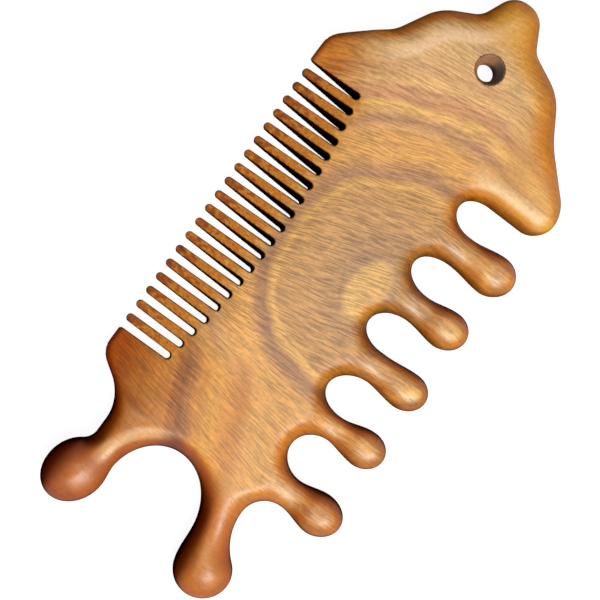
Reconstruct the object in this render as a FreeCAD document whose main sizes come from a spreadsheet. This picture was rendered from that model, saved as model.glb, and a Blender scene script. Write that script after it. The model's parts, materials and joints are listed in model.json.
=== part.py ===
"""Fish-shaped wide tooth comb with massage prongs, carved from one flat board of hardwood.

Frame: the comb lies on its flat back on z = 0. +X runs along the back to the nose, +Y runs
to the tips of the teeth, the massage prongs point to -Y, and the board is centred on
z = board_thickness / 2. Lengths are millimetres.

One rounded blank is cut into the board, head, jaw and guards by flat planes. The teeth, the
prongs and the tail lobes stand on flat root faces of that blank, so that every member meets
its neighbour face to face, as it does in the one piece of wood.
"""
import math
import os

import FreeCAD
import Part
import Sketcher
from FreeCAD import Placement, Rotation, Vector

# Driving dimensions. The row of slots sets out the comb: what lies behind it is measured along X
# from the first slot, and what lies ahead of it from the last. A name that starts with prong_N
# or gullet_N counts from tail to head.
SIZES = {
    # the board
    "board_thickness": 12.0,
    "edge_rounding": 4.7,
    # the comb teeth and the saw slots between them
    "tooth_count": 19,
    "slot_pitch": 4.4,
    "slot_width": 2.1,
    "first_slot_x": -42.4,
    "slot_arch_radius": 200.0,
    # the slot, counted from the first, over the middle of the arch
    "slot_arch_middle": 8.98,
    "slot_arch_bottom_y": 18.75,
    "tooth_root_land": 0.3,
    "tip_rear_y": 38.1,
    "tip_front_y": 39.7,
    "tip_thickness": 1.4,
    "tip_rounding": 1.1,
    "wedge_length": 21.5,
    # the guards at both ends of the teeth
    "rear_guard_y": 38.2,
    "rear_guard_root_y": 28.5,
    "rear_corner_x": -8.9,
    "rear_corner_radius": 6.2,
    "rear_heel_x": -16.0,
    "rear_heel_radius": 12.0,
    "front_guard_y": 40.2,
    "front_guard_root_y": 26.0,
    "front_guard_end_x": 10.8,
    # the two tail lobes and the round bay between them; the lobes are measured from the bay
    "tail_top_y": 26.5,
    "tail_bottom_y": -16.8,
    "bay_x": -31.4,
    "bay_y": 4.7,
    "bay_radius": 12.7,
    "upper_waist_x": 3.6,
    "upper_neck_x": 1.0,
    "upper_ball_x": -6.4,
    "upper_ball_y": 25.0,
    "upper_ball_length": 18.9,
    "upper_ball_width": 15.9,
    "upper_ball_lean": 0.1,
    "lower_neck_x": 0.6,
    "lower_ball_x": -8.2,
    "lower_ball_y": -17.4,
    "lower_ball_length": 15.3,
    "lower_ball_width": 15.7,
    "lower_ball_lean": -0.03,
    "tail_root_land": 0.2,
    "tail_neck_thickness": 10.2,
    # the massage prongs, stepped off along the slots: prong 1 from the first slot, each other
    # from the prong before it, in slot pitches
    "prong_1_step": -2.32,
    "prong_1_neck_y": -24.5,
    "prong_1_neck": 8.4,
    "prong_1_ball_shift": -0.05,
    "prong_1_ball_y": -33.3,
    "prong_1_ball": 11.7,
    "prong_1_tip_y": -40.2,
    "prong_2_step": 4.68,
    "prong_2_neck_y": -23.4,
    "prong_2_neck": 7.05,
    "prong_2_ball_shift": 0.35,
    "prong_2_ball_y": -33.0,
    "prong_2_ball": 10.5,
    "prong_2_tip_y": -39.0,
    "prong_3_step": 4.41,
    "prong_3_neck_y": -23.2,
    "prong_3_neck": 8.6,
    "prong_3_ball_shift": -0.1,
    "prong_3_ball_y": -32.9,
    "prong_3_ball": 10.6,
    "prong_3_tip_y": -38.95,
    "prong_4_step": 4.37,
    "prong_4_neck_y": -22.6,
    "prong_4_neck": 8.15,
    "prong_4_ball_shift": 0.15,
    "prong_4_ball_y": -32.0,
    "prong_4_ball": 10.85,
    "prong_4_tip_y": -38.0,
    "prong_5_step": 4.34,
    "prong_5_neck_y": -23.2,
    "prong_5_neck": 9.0,
    "prong_5_ball_shift": 0.2,
    "prong_5_ball_y": -33.4,
    "prong_5_ball": 11.6,
    "prong_5_tip_y": -39.65,
    "prong_root_land": 0.3,
    "prong_root_depth": 0.25,
    # the gullets beside the prongs: the top of each, and how tall its rounded part is
    "tail_gullet_setback": 2.8,
    "tail_gullet_height": 7.3,
    "gullet_1_y": -16.65,
    "gullet_1_height": 7.8,
    "gullet_2_y": -15.0,
    "gullet_2_height": 8.3,
    "gullet_3_y": -13.7,
    "gullet_3_height": 8.1,
    "gullet_4_y": -14.2,
    "gullet_4_height": 8.2,
    "gullet_5_y": -15.1,
    "gullet_5_height": 6.9,
    # the jaw
    "jaw_root_y": -18.5,
    "jaw_wall_x": -1.15,
    "jaw_heel_radius": 6.3,
    "chin_x": 9.3,
    "chin_y": -38.8,
    "chin_radius": 9.0,
    "throat_x": 22.3,
    "throat_y": -25.9,
    "throat_radius": 30.0,
    "cheek_x": 33.7,
    "cheek_y": -18.8,
    "cheek_radius": 15.0,
    # the head
    "lip_x": 39.0,
    "lip_y": -7.5,
    "lip_radius": 5.0,
    "nose_x": 48.45,
    "nose_low_y": -2.3,
    "nose_high_y": 6.4,
    "nose_radius": 6.4,
    "bridge_x": 38.5,
    "bridge_y": 10.6,
    "bridge_radius": 6.0,
    "brow_x": 32.9,
    "brow_y": 20.6,
    "brow_radius": 14.0,
    "forehead_x": 21.7,
    "forehead_y": 26.7,
    "forehead_radius": 10.0,
    "crown_x": 9.7,
    "crown_radius": 6.2,
    # the eye, which is the hanging hole
    "eye_x": 26.85,
    "eye_y": 0.5,
    "eye_bore": 5.0,
    "eye_bore_length": 4.0,
    "eye_rim": 8.7,
    "eye_rim_rounding": 0.9,
}
TAIL_SIZES = ("neck_x", "ball_x", "ball_y", "ball_length", "ball_width", "ball_lean")
PRONG_COUNT = 5
# How finely the lofted limbs follow their curves.
POINTS_PER_QUARTER = 5
SECTIONS_PER_ROOT = 5
SECTIONS_PER_HOLLOW = 4
SECTIONS_PER_BALL = 6
# Where the last section of a ball stands short of its end, in steps.
BALL_END_GAP = 0.4
# How near the ends of a ball's quarter turn its neck may meet it, in radians.
TURN_MARGIN = 0.01
# Largest share of a tooth's width that its tip is rounded over.
TIP_ROUNDING_SHARE = 0.48


class Comb:
    """The document, its sheet of sizes, and what several members work out from them."""

    def __init__(self):
        self.doc = FreeCAD.newDocument("Comb")
        self.sheet = self.doc.addObject("Spreadsheet::Sheet", "Sizes")
        for row, (alias, value) in enumerate(SIZES.items(), start=1):
            self.sheet.set(f"A{row}", alias)
            self.sheet.set(f"B{row}", str(value))
            self.sheet.setAlias(f"B{row}", alias)
        self.doc.recompute()
        self.members = []
        self.gullets = [self.gullet(number) for number in range(PRONG_COUNT + 1)]
        self.rim_limit = self.widest_rim()
        self.rim_rounding = min(self.edge_rounding, self.rim_limit)

    def __getattr__(self, alias):
        """Read a size from the sheet by its alias."""
        if alias not in SIZES:
            raise AttributeError(alias)
        return float(getattr(self.sheet, alias))

    def prong(self, number, size):
        """Read a size of one prong."""
        return getattr(self, f"prong_{number}_{size}")

    def prong_x(self, number):
        """Middle of a prong's neck, stepped off along the row of slots."""
        return self.slot_x(sum(self.prong(other, "step") for other in range(1, number + 1)))

    def prong_side(self, number, towards):
        """Left or right side of a prong's neck."""
        return self.prong_x(number) + towards * self.prong(number, "neck") / 2

    def behind(self, name):
        """Place of something measured from the first slot."""
        return self.slot_x(0) + getattr(self, name)

    def ahead(self, name):
        """Place of something measured from the last slot."""
        return self.slot_x(self.tooth_count) + getattr(self, name)

    @property
    def middle_z(self):
        """Height of the plane on which every member is centred."""
        return self.board_thickness / 2

    def slot_x(self, number):
        """Middle of a saw slot; slot 0 is beside the rear guard."""
        return self.first_slot_x + number * self.slot_pitch

    def slot_bottom(self, number):
        """Deepest point of a saw slot: the slots end on a shallow arch."""
        offset = self.slot_x(number) - self.slot_x(self.slot_arch_middle)
        rise = self.slot_arch_radius - math.sqrt(self.slot_arch_radius**2 - offset**2)
        return self.slot_arch_bottom_y + rise

    def tooth_root(self, number):
        """Root plane of a tooth, just above the round bottoms of the slots beside it."""
        higher = max(self.slot_bottom(number), self.slot_bottom(number + 1))
        return higher + self.slot_width / 2 + self.tooth_root_land

    def tip_slope(self):
        """Rise of the line of tips for each millimetre along the comb."""
        span = (self.tooth_count - 1) * self.slot_pitch
        return (self.tip_front_y - self.tip_rear_y) / span

    def tip_y(self, x):
        """Height of the line of tips."""
        first_tooth = self.slot_x(0) + self.slot_pitch / 2
        return self.tip_rear_y + (x - first_tooth) * self.tip_slope()

    def wedge_half(self, x, y):
        """Half the thickness of the toothed edge, which tapers to the tips on both faces."""
        taper = (self.board_thickness - self.tip_thickness) / 2 / self.wedge_length
        return min(self.middle_z, self.tip_thickness / 2 + (self.tip_y(x) - y) * taper)

    def gullet(self, number):
        """Opening behind prong number + 1.

        Gullet 0 is the one between the tail and the first prong; the last one ends on the jaw.
        """
        if number == 0:
            x = self.behind("bay_x") + self.bay_radius - self.tail_gullet_setback
            return Arch(x, self.tail_bottom_y, self.prong_side(1, -1) - x, self.tail_gullet_height)
        left, right = self.prong_side(number, 1), self.ahead("jaw_wall_x")
        if number < PRONG_COUNT:
            right = self.prong_side(number + 1, -1)
        crown, height = (getattr(self, f"gullet_{number}_{size}") for size in ("y", "height"))
        return Arch((left + right) / 2, crown, (right - left) / 2, height)

    def gullet_sides(self, number, y, inset=0.0):
        """Left and right side of a prong's flared root at a height, or of its flat land."""
        left, right = self.gullets[number - 1], self.gullets[number]
        return left.x + left.half(y, inset), right.x - right.half(y, inset)

    def prong_root(self, number):
        """Root plane of a prong: the lowest one where its rounded sides still leave a land."""
        return bisect(
            lambda y: self.land(number, y, self.rim_rounding),
            self.prong(number, "neck_y"),
            self.root_limit(number),
        )

    def root_limit(self, number):
        """Highest root plane of a prong, just below the crowns of the gullets beside it."""
        crowns = [self.gullets[side].crown_y for side in (number - 1, number)]
        return min(crowns) - self.prong_root_depth

    def land(self, number, y, rounding):
        """Flat width left between a prong's rounded sides at a height, past the wanted land."""
        left, right = self.gullet_sides(number, y, rounding)
        return right - left - self.prong_root_land

    def widest_rim(self):
        """Largest rounding of the rim that leaves a land on the narrowest prong root."""
        rooms = []
        for number in range(1, PRONG_COUNT + 1):
            root = self.root_limit(number)
            less = bisect(lambda drop: self.land(number, root, -drop), -self.middle_z, 0)
            rooms.append(-less)
        return min(rooms)

    def bay_half(self, x, inset=0.0):
        """Half the height of the tail bay at a place along the comb, or of its flat land."""
        return half_chord(self.bay_radius + inset, x - self.behind("bay_x"))

    def body(self, name):
        """Start an empty body."""
        return self.doc.addObject("PartDesign::Body", name)

    def keep(self, feature, label):
        """Record a finished sub-part under the name of its file."""
        feature.Label = label
        self.members.append(feature)


def half_chord(radius, offset):
    """Half the chord of a circle at an offset from its centre, or nothing outside it."""
    return math.sqrt(max(0.0, radius**2 - offset**2))


def bisect(function, low, high):
    """Find where a rising function crosses nought."""
    for _ in range(60):
        middle = (low + high) / 2
        if function(middle) < 0:
            low = middle
        else:
            high = middle
    return high


def ease(part):
    """Rise from 0 to 1 with a level start and end."""
    part = min(1.0, max(0.0, part))
    return part * part * (3 - 2 * part)


def mix(first, second, part):
    """Pass from one value to another."""
    return first + (second - first) * part


class Arch:
    """A gullet: an opening with a half-elliptic top and straight sides below it."""

    def __init__(self, x, crown_y, half_width, height):
        self.x, self.crown_y = x, crown_y
        self.half_width, self.height = half_width, height
        self.y = crown_y - height

    def place(self, turn, inset):
        """Half width and rise of the line that runs an inset outside the opening."""
        across, up = math.cos(turn), math.sin(turn)
        length = math.hypot(self.height * across, self.half_width * up)
        return (
            across * (self.half_width + inset * self.height / length),
            up * (self.height + inset * self.half_width / length),
        )

    def half(self, y, inset=0.0):
        """Half the width of that line at a height."""
        rise = y - self.y
        if rise >= self.height + inset:
            return 0.0
        turn = bisect(lambda turn: self.place(turn, inset)[1] - max(0.0, rise), 0.0, math.pi / 2)
        return self.place(turn, inset)[0]

    def run(self, start, end):
        """Curve over the top, from a point on the left side to one on the right side."""
        centre = Vector(self.x, self.y, 0)
        right, up = Vector(self.half_width, 0, 0), Vector(0, self.height, 0)
        axes = (up, -right) if self.height > self.half_width else (right, up)
        ellipse = Part.Ellipse(centre + axes[0], centre + axes[1], centre)
        return Part.ArcOfEllipse(ellipse, ellipse.parameter(end), ellipse.parameter(start))


class TailLobe:
    """A tail lobe in plan: a neck between the bay and a straight edge, and an egg-shaped ball."""

    def __init__(self, comb, side):
        self.comb = comb
        self.outward = 1 if side == "upper" else -1
        for name in TAIL_SIZES:
            setattr(self, name, getattr(comb, f"{side}_{name}"))
        self.bay_x = comb.behind("bay_x")
        self.neck_x += self.bay_x
        self.ball_x += self.bay_x
        self.edge_y, self.waist_x = comb.tail_bottom_y, comb.gullets[0].x
        if side == "upper":
            self.edge_y, self.waist_x = comb.tail_top_y, self.bay_x + comb.upper_waist_x
        self.reach, self.half = self.ball_length / 2, self.ball_width / 2
        self.root_x = self.find_root()
        quarter = math.pi / 2 - TURN_MARGIN
        self.turn = bisect(lambda turn: self.waist(turn)[1], TURN_MARGIN, quarter)

    def find_root(self):
        """Find the root plane, where the rounded sides still leave a land."""
        comb = self.comb
        room = abs(self.edge_y - comb.bay_y) - comb.rim_rounding - comb.tail_root_land
        return bisect(
            lambda x: room - comb.bay_half(x, comb.rim_rounding),
            self.bay_x,
            self.bay_x + comb.bay_radius,
        )

    def ball(self, turn):
        """Point on the ball's outer side, turned from the neck's side towards the tip."""
        across, out = math.cos(turn) * self.reach, math.sin(turn) * self.half
        return self.ball_x + across, self.ball_y + self.outward * (out - self.ball_lean * across)

    def waist(self, turn):
        """Radius of the hollow that leaves the straight edge at the waist and meets the ball at
        a point, and how far it misses."""
        x, y = self.ball(turn)
        run = -math.sin(turn) * self.reach
        climb = math.cos(turn) * self.half - self.ball_lean * run
        length = math.hypot(run, climb)
        radius = (self.waist_x - x) * length / climb
        return radius, self.outward * (y - self.edge_y) - radius * run / length - radius

    def outer(self, x):
        """Outer side at a place along the lobe."""
        radius, _ = self.waist(self.turn)
        if x > self.ball(self.turn)[0]:
            along = max(0.0, self.waist_x - x)
            return self.edge_y + self.outward * (radius - half_chord(radius, along))
        return self.ball_side(x, self.outward)

    def inner(self, x, inset=0.0):
        """Side on the bay at a place along the lobe, or the edge of its flat land."""
        comb = self.comb
        if x >= self.bay_x:
            return comb.bay_y + self.outward * comb.bay_half(x, inset)
        slope = self.ball_lean * self.reach / self.half
        ball_x = self.ball_x + self.reach * slope / math.hypot(1, slope)
        if x <= ball_x:
            return self.ball_side(x, -self.outward)
        part = ease((self.bay_x - x) / (self.bay_x - ball_x))
        bay_side = comb.bay_y + self.outward * comb.bay_radius
        return mix(bay_side, self.ball_side(ball_x, -self.outward), part)

    def ball_side(self, x, towards):
        """Upper or lower side of the ball."""
        across = x - self.ball_x
        middle = self.ball_y - self.outward * self.ball_lean * across
        return middle + towards * self.half * half_chord(1.0, across / self.reach)

    def half_height(self, x):
        """Half the thickness at a place along the lobe."""
        full, neck = self.comb.middle_z, self.comb.tail_neck_thickness / 2
        if x > self.neck_x:
            return mix(full, neck, self.grown(x))
        part = ease((self.neck_x - x) / (self.neck_x - self.ball_x))
        return mix(neck, full, part) * half_chord(1.0, min(0.0, x - self.ball_x) / self.reach)

    def grown(self, x):
        """How far the rounded rim has turned into the full round of the neck."""
        return ease((self.root_x - x) / (self.root_x - self.neck_x))


class Outline:
    """A closed outline in plan, drawn anticlockwise, that knows which runs are rounded over."""

    def __init__(self, x, y):
        self.start = Vector(x, y, 0)
        self.point = self.start
        self.curves = []
        self.rounded = []

    def line_to(self, x, y, rounded=False):
        """Draw a straight run."""
        end = Vector(x, y, 0)
        if self.point.distanceToPoint(end) > 1e-6:
            self.add(Part.LineSegment(self.point, end), end, rounded)

    def arc_to(self, through, end, rounded=False):
        """Draw an arc through a point."""
        self.add(Part.Arc(self.point, through, end), end, rounded)

    def arch_to(self, arch, end, rounded=False):
        """Draw over the top of an arch."""
        self.add(arch.run(self.point, end), end, rounded)

    def add(self, curve, end, rounded):
        """Add a run that ends at a point."""
        self.curves.append(curve)
        if rounded:
            self.rounded.append(curve.toShape())
        self.point = end

    def corners(self, corners, end):
        """Draw straight runs with round corners, each given as x, y and radius."""
        places = [self.point] + [Vector(x, y, 0) for x, y, _ in corners] + [end]
        for index, (_, _, radius) in enumerate(corners, start=1):
            corner = places[index]
            back = (places[index - 1] - corner).normalize()
            ahead = (places[index + 1] - corner).normalize()
            half_angle = back.getAngle(ahead) / 2
            reach = radius / math.tan(half_angle)
            towards_centre = (back + ahead).normalize()
            depth = radius / math.sin(half_angle) - radius
            first = corner + back * reach
            self.line_to(first.x, first.y, rounded=True)
            self.arc_to(corner + towards_centre * depth, corner + ahead * reach, rounded=True)
        self.line_to(end.x, end.y, rounded=True)


def draw_outline(comb):
    """Draw the blank in plan: everything but the teeth, the prongs and the tail lobes."""
    last_slot = int(comb.tooth_count)
    half_slot = comb.slot_width / 2
    rear_wall = comb.slot_x(0) - half_slot
    outline = Outline(rear_wall, comb.rear_guard_y)
    upper, lower = TailLobe(comb, "upper"), TailLobe(comb, "lower")
    outline.corners(
        (
            (comb.behind("rear_corner_x"), comb.rear_guard_y, comb.rear_corner_radius),
            (comb.behind("rear_heel_x"), comb.tail_top_y, comb.rear_heel_radius),
        ),
        Vector(upper.root_x, comb.tail_top_y, 0),
    )
    outline.line_to(upper.root_x, upper.inner(upper.root_x))
    outline.arc_to(
        Vector(upper.bay_x + comb.bay_radius, comb.bay_y, 0),
        Vector(lower.root_x, lower.inner(lower.root_x), 0),
        rounded=True,
    )
    outline.line_to(lower.root_x, lower.outer(lower.root_x))
    through = (lower.root_x + lower.waist_x) / 2
    outline.arc_to(
        Vector(through, lower.outer(through), 0),
        Vector(lower.waist_x, lower.edge_y, 0),
        rounded=True,
    )
    for number in range(1, PRONG_COUNT + 1):
        root = comb.prong_root(number)
        left, right = comb.gullet_sides(number, root)
        outline.arch_to(comb.gullets[number - 1], Vector(left, root, 0), rounded=True)
        outline.line_to(right, root)
    last = comb.gullets[PRONG_COUNT]
    outline.arch_to(last, Vector(comb.ahead("jaw_wall_x"), last.y, 0), rounded=True)
    draw_head(comb, outline)
    for number in range(last_slot, -1, -1):
        middle, bottom = comb.slot_x(number), comb.slot_bottom(number)
        outline.line_to(middle + half_slot, bottom + half_slot)
        outline.arc_to(Vector(middle, bottom, 0), Vector(middle - half_slot, bottom + half_slot, 0))
        if number > 0:
            root = comb.tooth_root(number - 1)
            outline.line_to(middle - half_slot, root)
            outline.line_to(comb.slot_x(number - 1) + half_slot, root)
    outline.line_to(outline.start.x, outline.start.y)
    return outline


def draw_head(comb, outline):
    """Draw the jaw, nose, brow and forehead, up to the last saw slot."""
    names = ("chin", "throat", "cheek", "lip", "nose_low", "nose_high", "bridge", "brow")
    corners = [(comb.ahead("jaw_wall_x"), comb.chin_y, comb.jaw_heel_radius)]
    for name in names + ("forehead",):
        place = "nose" if name.startswith("nose") else name
        radius = getattr(comb, f"{place}_radius")
        corners.append((comb.ahead(f"{place}_x"), getattr(comb, f"{name}_y"), radius))
    corners.append((comb.ahead("crown_x"), comb.front_guard_y, comb.crown_radius))
    wall = comb.slot_x(comb.tooth_count) + comb.slot_width / 2
    outline.corners(corners, Vector(wall, comb.front_guard_y, 0))


def origin_plane(body, role):
    """Find one of a body's own origin planes."""
    return next(plane for plane in body.Origin.OriginFeatures if plane.Role == role)


def add_sketch(body, name, role, curves, offset=None):
    """Put curves on one of a body's origin planes and block them where they stand."""
    sketch = body.newObject("Sketcher::SketchObject", name)
    sketch.AttachmentSupport = [(origin_plane(body, role), "")]
    sketch.MapMode = "FlatFace"
    if offset:
        sketch.AttachmentOffset = offset
    sketch.addGeometry(curves, False)
    sketch.addConstraint([Sketcher.Constraint("Block", index) for index in range(len(curves))])
    return sketch


def build_blank(comb):
    """Build the rounded blank: outline, rounded rim, and the taper on both faces to the tips."""
    outline = draw_outline(comb)
    body = comb.body("Blank")
    sketch = add_sketch(body, "BlankOutline", "XY_Plane", outline.curves)
    pad = body.newObject("PartDesign::Pad", "BlankPad")
    pad.Profile = sketch
    pad.setExpression("Length", "Sizes.board_thickness")
    comb.doc.recompute()

    rim = body.newObject("PartDesign::Fillet", "BlankRim")
    rim.Base = (pad, rim_edges(pad.Shape, outline))
    rim.setExpression("Radius", f"min(Sizes.edge_rounding; {comb.rim_limit:.4f})")
    comb.doc.recompute()

    taper = body.newObject("PartDesign::Pocket", "BlankTaper")
    taper.Profile = add_sketch(body, "TaperSides", "YZ_Plane", taper_curves(comb), taper_place(comb))
    taper.SideType = "Symmetric"
    taper.Type = "ThroughAll"
    before = rim.Shape.Volume
    comb.doc.recompute()
    if taper.Shape.Volume > before - comb.board_thickness:
        raise RuntimeError("the taper to the teeth cut nothing")
    return body


def rim_edges(shape, outline):
    """Name the edges of both faces that lie over the rounded runs of the outline."""
    names = []
    for index, edge in enumerate(shape.Edges, start=1):
        level = edge.BoundBox.ZLength < 1e-6
        if level and any(same_in_plan(edge, run) for run in outline.rounded):
            names.append(f"Edge{index}")
    return names


def same_in_plan(edge, run):
    """Tell whether an edge lies over a run of the outline."""
    first, second = edge.CenterOfMass, run.CenterOfMass
    same_place = math.hypot(first.x - second.x, first.y - second.y) < 1e-4
    return same_place and abs(edge.Length - run.Length) < 1e-4


def taper_curves(comb):
    """Draw the two wedges that the taper takes off, in height over the distance to the tips."""
    far = comb.wedge_length
    past_tip = comb.middle_z - comb.wedge_half(0, comb.tip_y(0)) * 2
    outside = 2 * comb.board_thickness
    curves = []
    for side in (1, -1):
        points = [
            Vector(-far, side * comb.middle_z, 0),
            Vector(far, -side * past_tip, 0),
            Vector(far, side * outside, 0),
            Vector(-far, side * outside, 0),
        ]
        for first, second in zip(points, points[1:] + points[:1]):
            curves.append(Part.LineSegment(first, second))
    return curves


def taper_place(comb):
    """Stand the taper's sketch across the line of tips, which leans along the comb."""
    middle = comb.slot_x(comb.tooth_count / 2)
    lean = math.degrees(math.atan(comb.tip_slope()))
    # The sketch's own axes are the comb's Y, Z and X.
    return Placement(Vector(comb.tip_y(middle), comb.middle_z, middle), Rotation(Vector(0, 1, 0), lean))


def zone(comb, name, low, high):
    """Make a box that reaches through the blank, from one corner in plan to the other."""
    box = comb.doc.addObject("Part::Box", name)
    box.Length = high[0] - low[0]
    box.Width = high[1] - low[1]
    box.setExpression("Height", "Sizes.board_thickness * 3")
    box.Placement.Base = Vector(low[0], low[1], -comb.board_thickness)
    return box


def cut_members(comb, blank):
    """Cut the blank into the board, the head, the jaw and the two guards."""
    last_slot = comb.slot_x(comb.tooth_count)
    margin, guard_end = comb.board_thickness, comb.ahead("front_guard_end_x")
    right, top = comb.ahead("nose_x") + margin, comb.front_guard_y + margin
    left, jaw_left = comb.behind("bay_x") - margin, comb.gullets[PRONG_COUNT].x
    zones = {
        "head": zone(comb, "HeadZone", (guard_end, comb.jaw_root_y), (right, top)),
        "jaw": zone(comb, "JawZone", (jaw_left, comb.chin_y - margin), (right, comb.jaw_root_y)),
        "front_guard": zone(comb, "FrontGuardZone", (last_slot, comb.front_guard_root_y), (guard_end, top)),
        "rear_guard": zone(comb, "RearGuardZone", (left, comb.rear_guard_root_y), (comb.slot_x(0), top)),
    }
    for label, box in zones.items():
        member = comb.doc.addObject("Part::Common", f"{label}_member")
        member.Base = blank
        member.Tool = box
        if label == "head":
            member = bore_eye(comb, member)
        comb.keep(member, label)
    others = comb.doc.addObject("Part::MultiFuse", "OtherZones")
    others.Shapes = list(zones.values())
    board = comb.doc.addObject("Part::Cut", "BoardMember")
    board.Base = blank
    board.Tool = others
    comb.keep(board, "board")


def bore_eye(comb, head):
    """Bore the eye through the head: a straight throat that opens to both faces."""
    eye_x = comb.ahead("eye_x")
    throat = comb.doc.addObject("Part::Cylinder", "EyeThroat")
    throat.setExpression("Radius", "Sizes.eye_bore / 2")
    throat.setExpression("Height", "Sizes.board_thickness")
    throat.Placement.Base = Vector(eye_x, comb.eye_y, 0)
    tools = [throat]
    for name, turn in (("EyeRimBack", 180), ("EyeRimFront", 0)):
        rim = comb.doc.addObject("Part::Cone", name)
        rim.setExpression("Radius1", "Sizes.eye_bore / 2")
        rim.setExpression("Radius2", "Sizes.eye_rim / 2 - Sizes.eye_rim_rounding / 2")
        rim.setExpression("Height", "(Sizes.board_thickness - Sizes.eye_bore_length) / 2")
        lift = math.copysign(comb.eye_bore_length / 2, 90 - turn)
        place = Vector(eye_x, comb.eye_y, comb.middle_z + lift)
        rim.Placement = Placement(place, Rotation(Vector(1, 0, 0), turn))
        tools.append(rim)
    eye = comb.doc.addObject("Part::MultiFuse", "Eye")
    eye.Shapes = tools
    bored = comb.doc.addObject("Part::Cut", "BoredHead")
    bored.Base = head
    bored.Tool = eye
    comb.doc.recompute()
    rounded = comb.doc.addObject("Part::Fillet", "RoundedHead")
    rounded.Base = bored
    rims = []
    for index, edge in enumerate(bored.Shape.Edges, start=1):
        on_face = min(abs(edge.CenterOfMass.z), abs(edge.CenterOfMass.z - comb.board_thickness)) < 1e-6
        about_eye = math.hypot(edge.CenterOfMass.x - eye_x, edge.CenterOfMass.y - comb.eye_y) < 1e-3
        if on_face and about_eye:
            rims.append((index, comb.eye_rim_rounding, comb.eye_rim_rounding))
    rounded.Edges = rims
    return rounded


def build_tooth(comb, number):
    """Build one tooth: a wedge on the slotted edge, with a rounded tip."""
    left = comb.slot_x(number) + comb.slot_width / 2
    middle = left + (comb.slot_pitch - comb.slot_width) / 2
    root, tip = comb.tooth_root(number), comb.tip_y(middle)
    body = comb.body(f"Tooth{number + 1:02d}")
    tooth = body.newObject("PartDesign::AdditiveWedge", f"ToothWedge{number + 1:02d}")
    for low, high in (("Xmin", "Xmax"), ("X2min", "X2max")):
        setattr(tooth, low, 0.0)
        tooth.setExpression(high, "Sizes.slot_pitch - Sizes.slot_width")
    tooth.Ymin = 0.0
    tooth.Ymax = tip - root
    root_half, tip_half = comb.wedge_half(middle, root), comb.wedge_half(middle, tip)
    tooth.Zmin, tooth.Zmax = -root_half, root_half
    tooth.Z2min, tooth.Z2max = -tip_half, tip_half
    comb.doc.recompute()
    corners = []
    for index, edge in enumerate(tooth.Shape.Edges, start=1):
        upright = edge.BoundBox.ZLength > 1e-3 and edge.BoundBox.YLength < 1e-6
        if upright and edge.CenterOfMass.y > (tip - root) / 2:
            corners.append(f"Edge{index}")
    rounding = body.newObject("PartDesign::Fillet", f"ToothTip{number + 1:02d}")
    rounding.Base = (tooth, corners)
    limit = f"(Sizes.slot_pitch - Sizes.slot_width) * {TIP_ROUNDING_SHARE}"
    rounding.setExpression("Radius", f"min(Sizes.tip_rounding; {limit})")
    body.Placement.Base = Vector(left, root, comb.middle_z)
    comb.keep(body, f"tooth_{number + 1:02d}")


def limb(comb, name, sections, tip):
    """Loft a carved limb through closed sections to the point at the end of its ball."""
    wires = []
    for points in sections:
        curve = Part.BSplineCurve()
        curve.interpolate(Points=points, PeriodicFlag=True)
        wires.append(Part.Wire(curve.toShape()))
    feature = comb.doc.addObject("Part::Feature", name)
    feature.Shape = Part.makeLoft(wires + [Part.Vertex(tip)], True, False)
    comb.keep(feature, name)


def section_points(sides, middle, half_height, rounding, across):
    """Points round the section of a limb, from the middle of its high side.

    The sides are two functions that place the low and the high side for an inset. The
    rounding is how wide and how tall each side is rounded over. The points are spread
    evenly over the upright band, the rounding and the flat land of each quarter.
    """
    low_side, high_side = sides
    wide, tall = rounding
    band = half_height - tall
    curve = math.pi / 2 * math.sqrt((wide**2 + tall**2) / 2)
    land = max(0.0, (high_side(wide) - low_side(wide)) / 2)
    low_quarter, high_quarter = [], []
    for step in range(POINTS_PER_QUARTER + 1):
        along = (band + curve + land) * step / POINTS_PER_QUARTER
        turn = math.pi / 2 * min(1.0, max(0.0, along - band) / curve)
        inset = wide * (1 - math.cos(turn))
        rise = min(band, along) + tall * math.sin(turn)
        over_land = max(0.0, along - band - curve)
        low_quarter.append((low_side(inset) + over_land, rise))
        high_quarter.append((high_side(inset) - over_land, rise))
    top = high_quarter + low_quarter[-2::-1]
    bottom = [(place, -rise) for place, rise in top[-2:0:-1]]
    return [middle + across * place + Vector(0, 0, rise) for place, rise in top + bottom]


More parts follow.
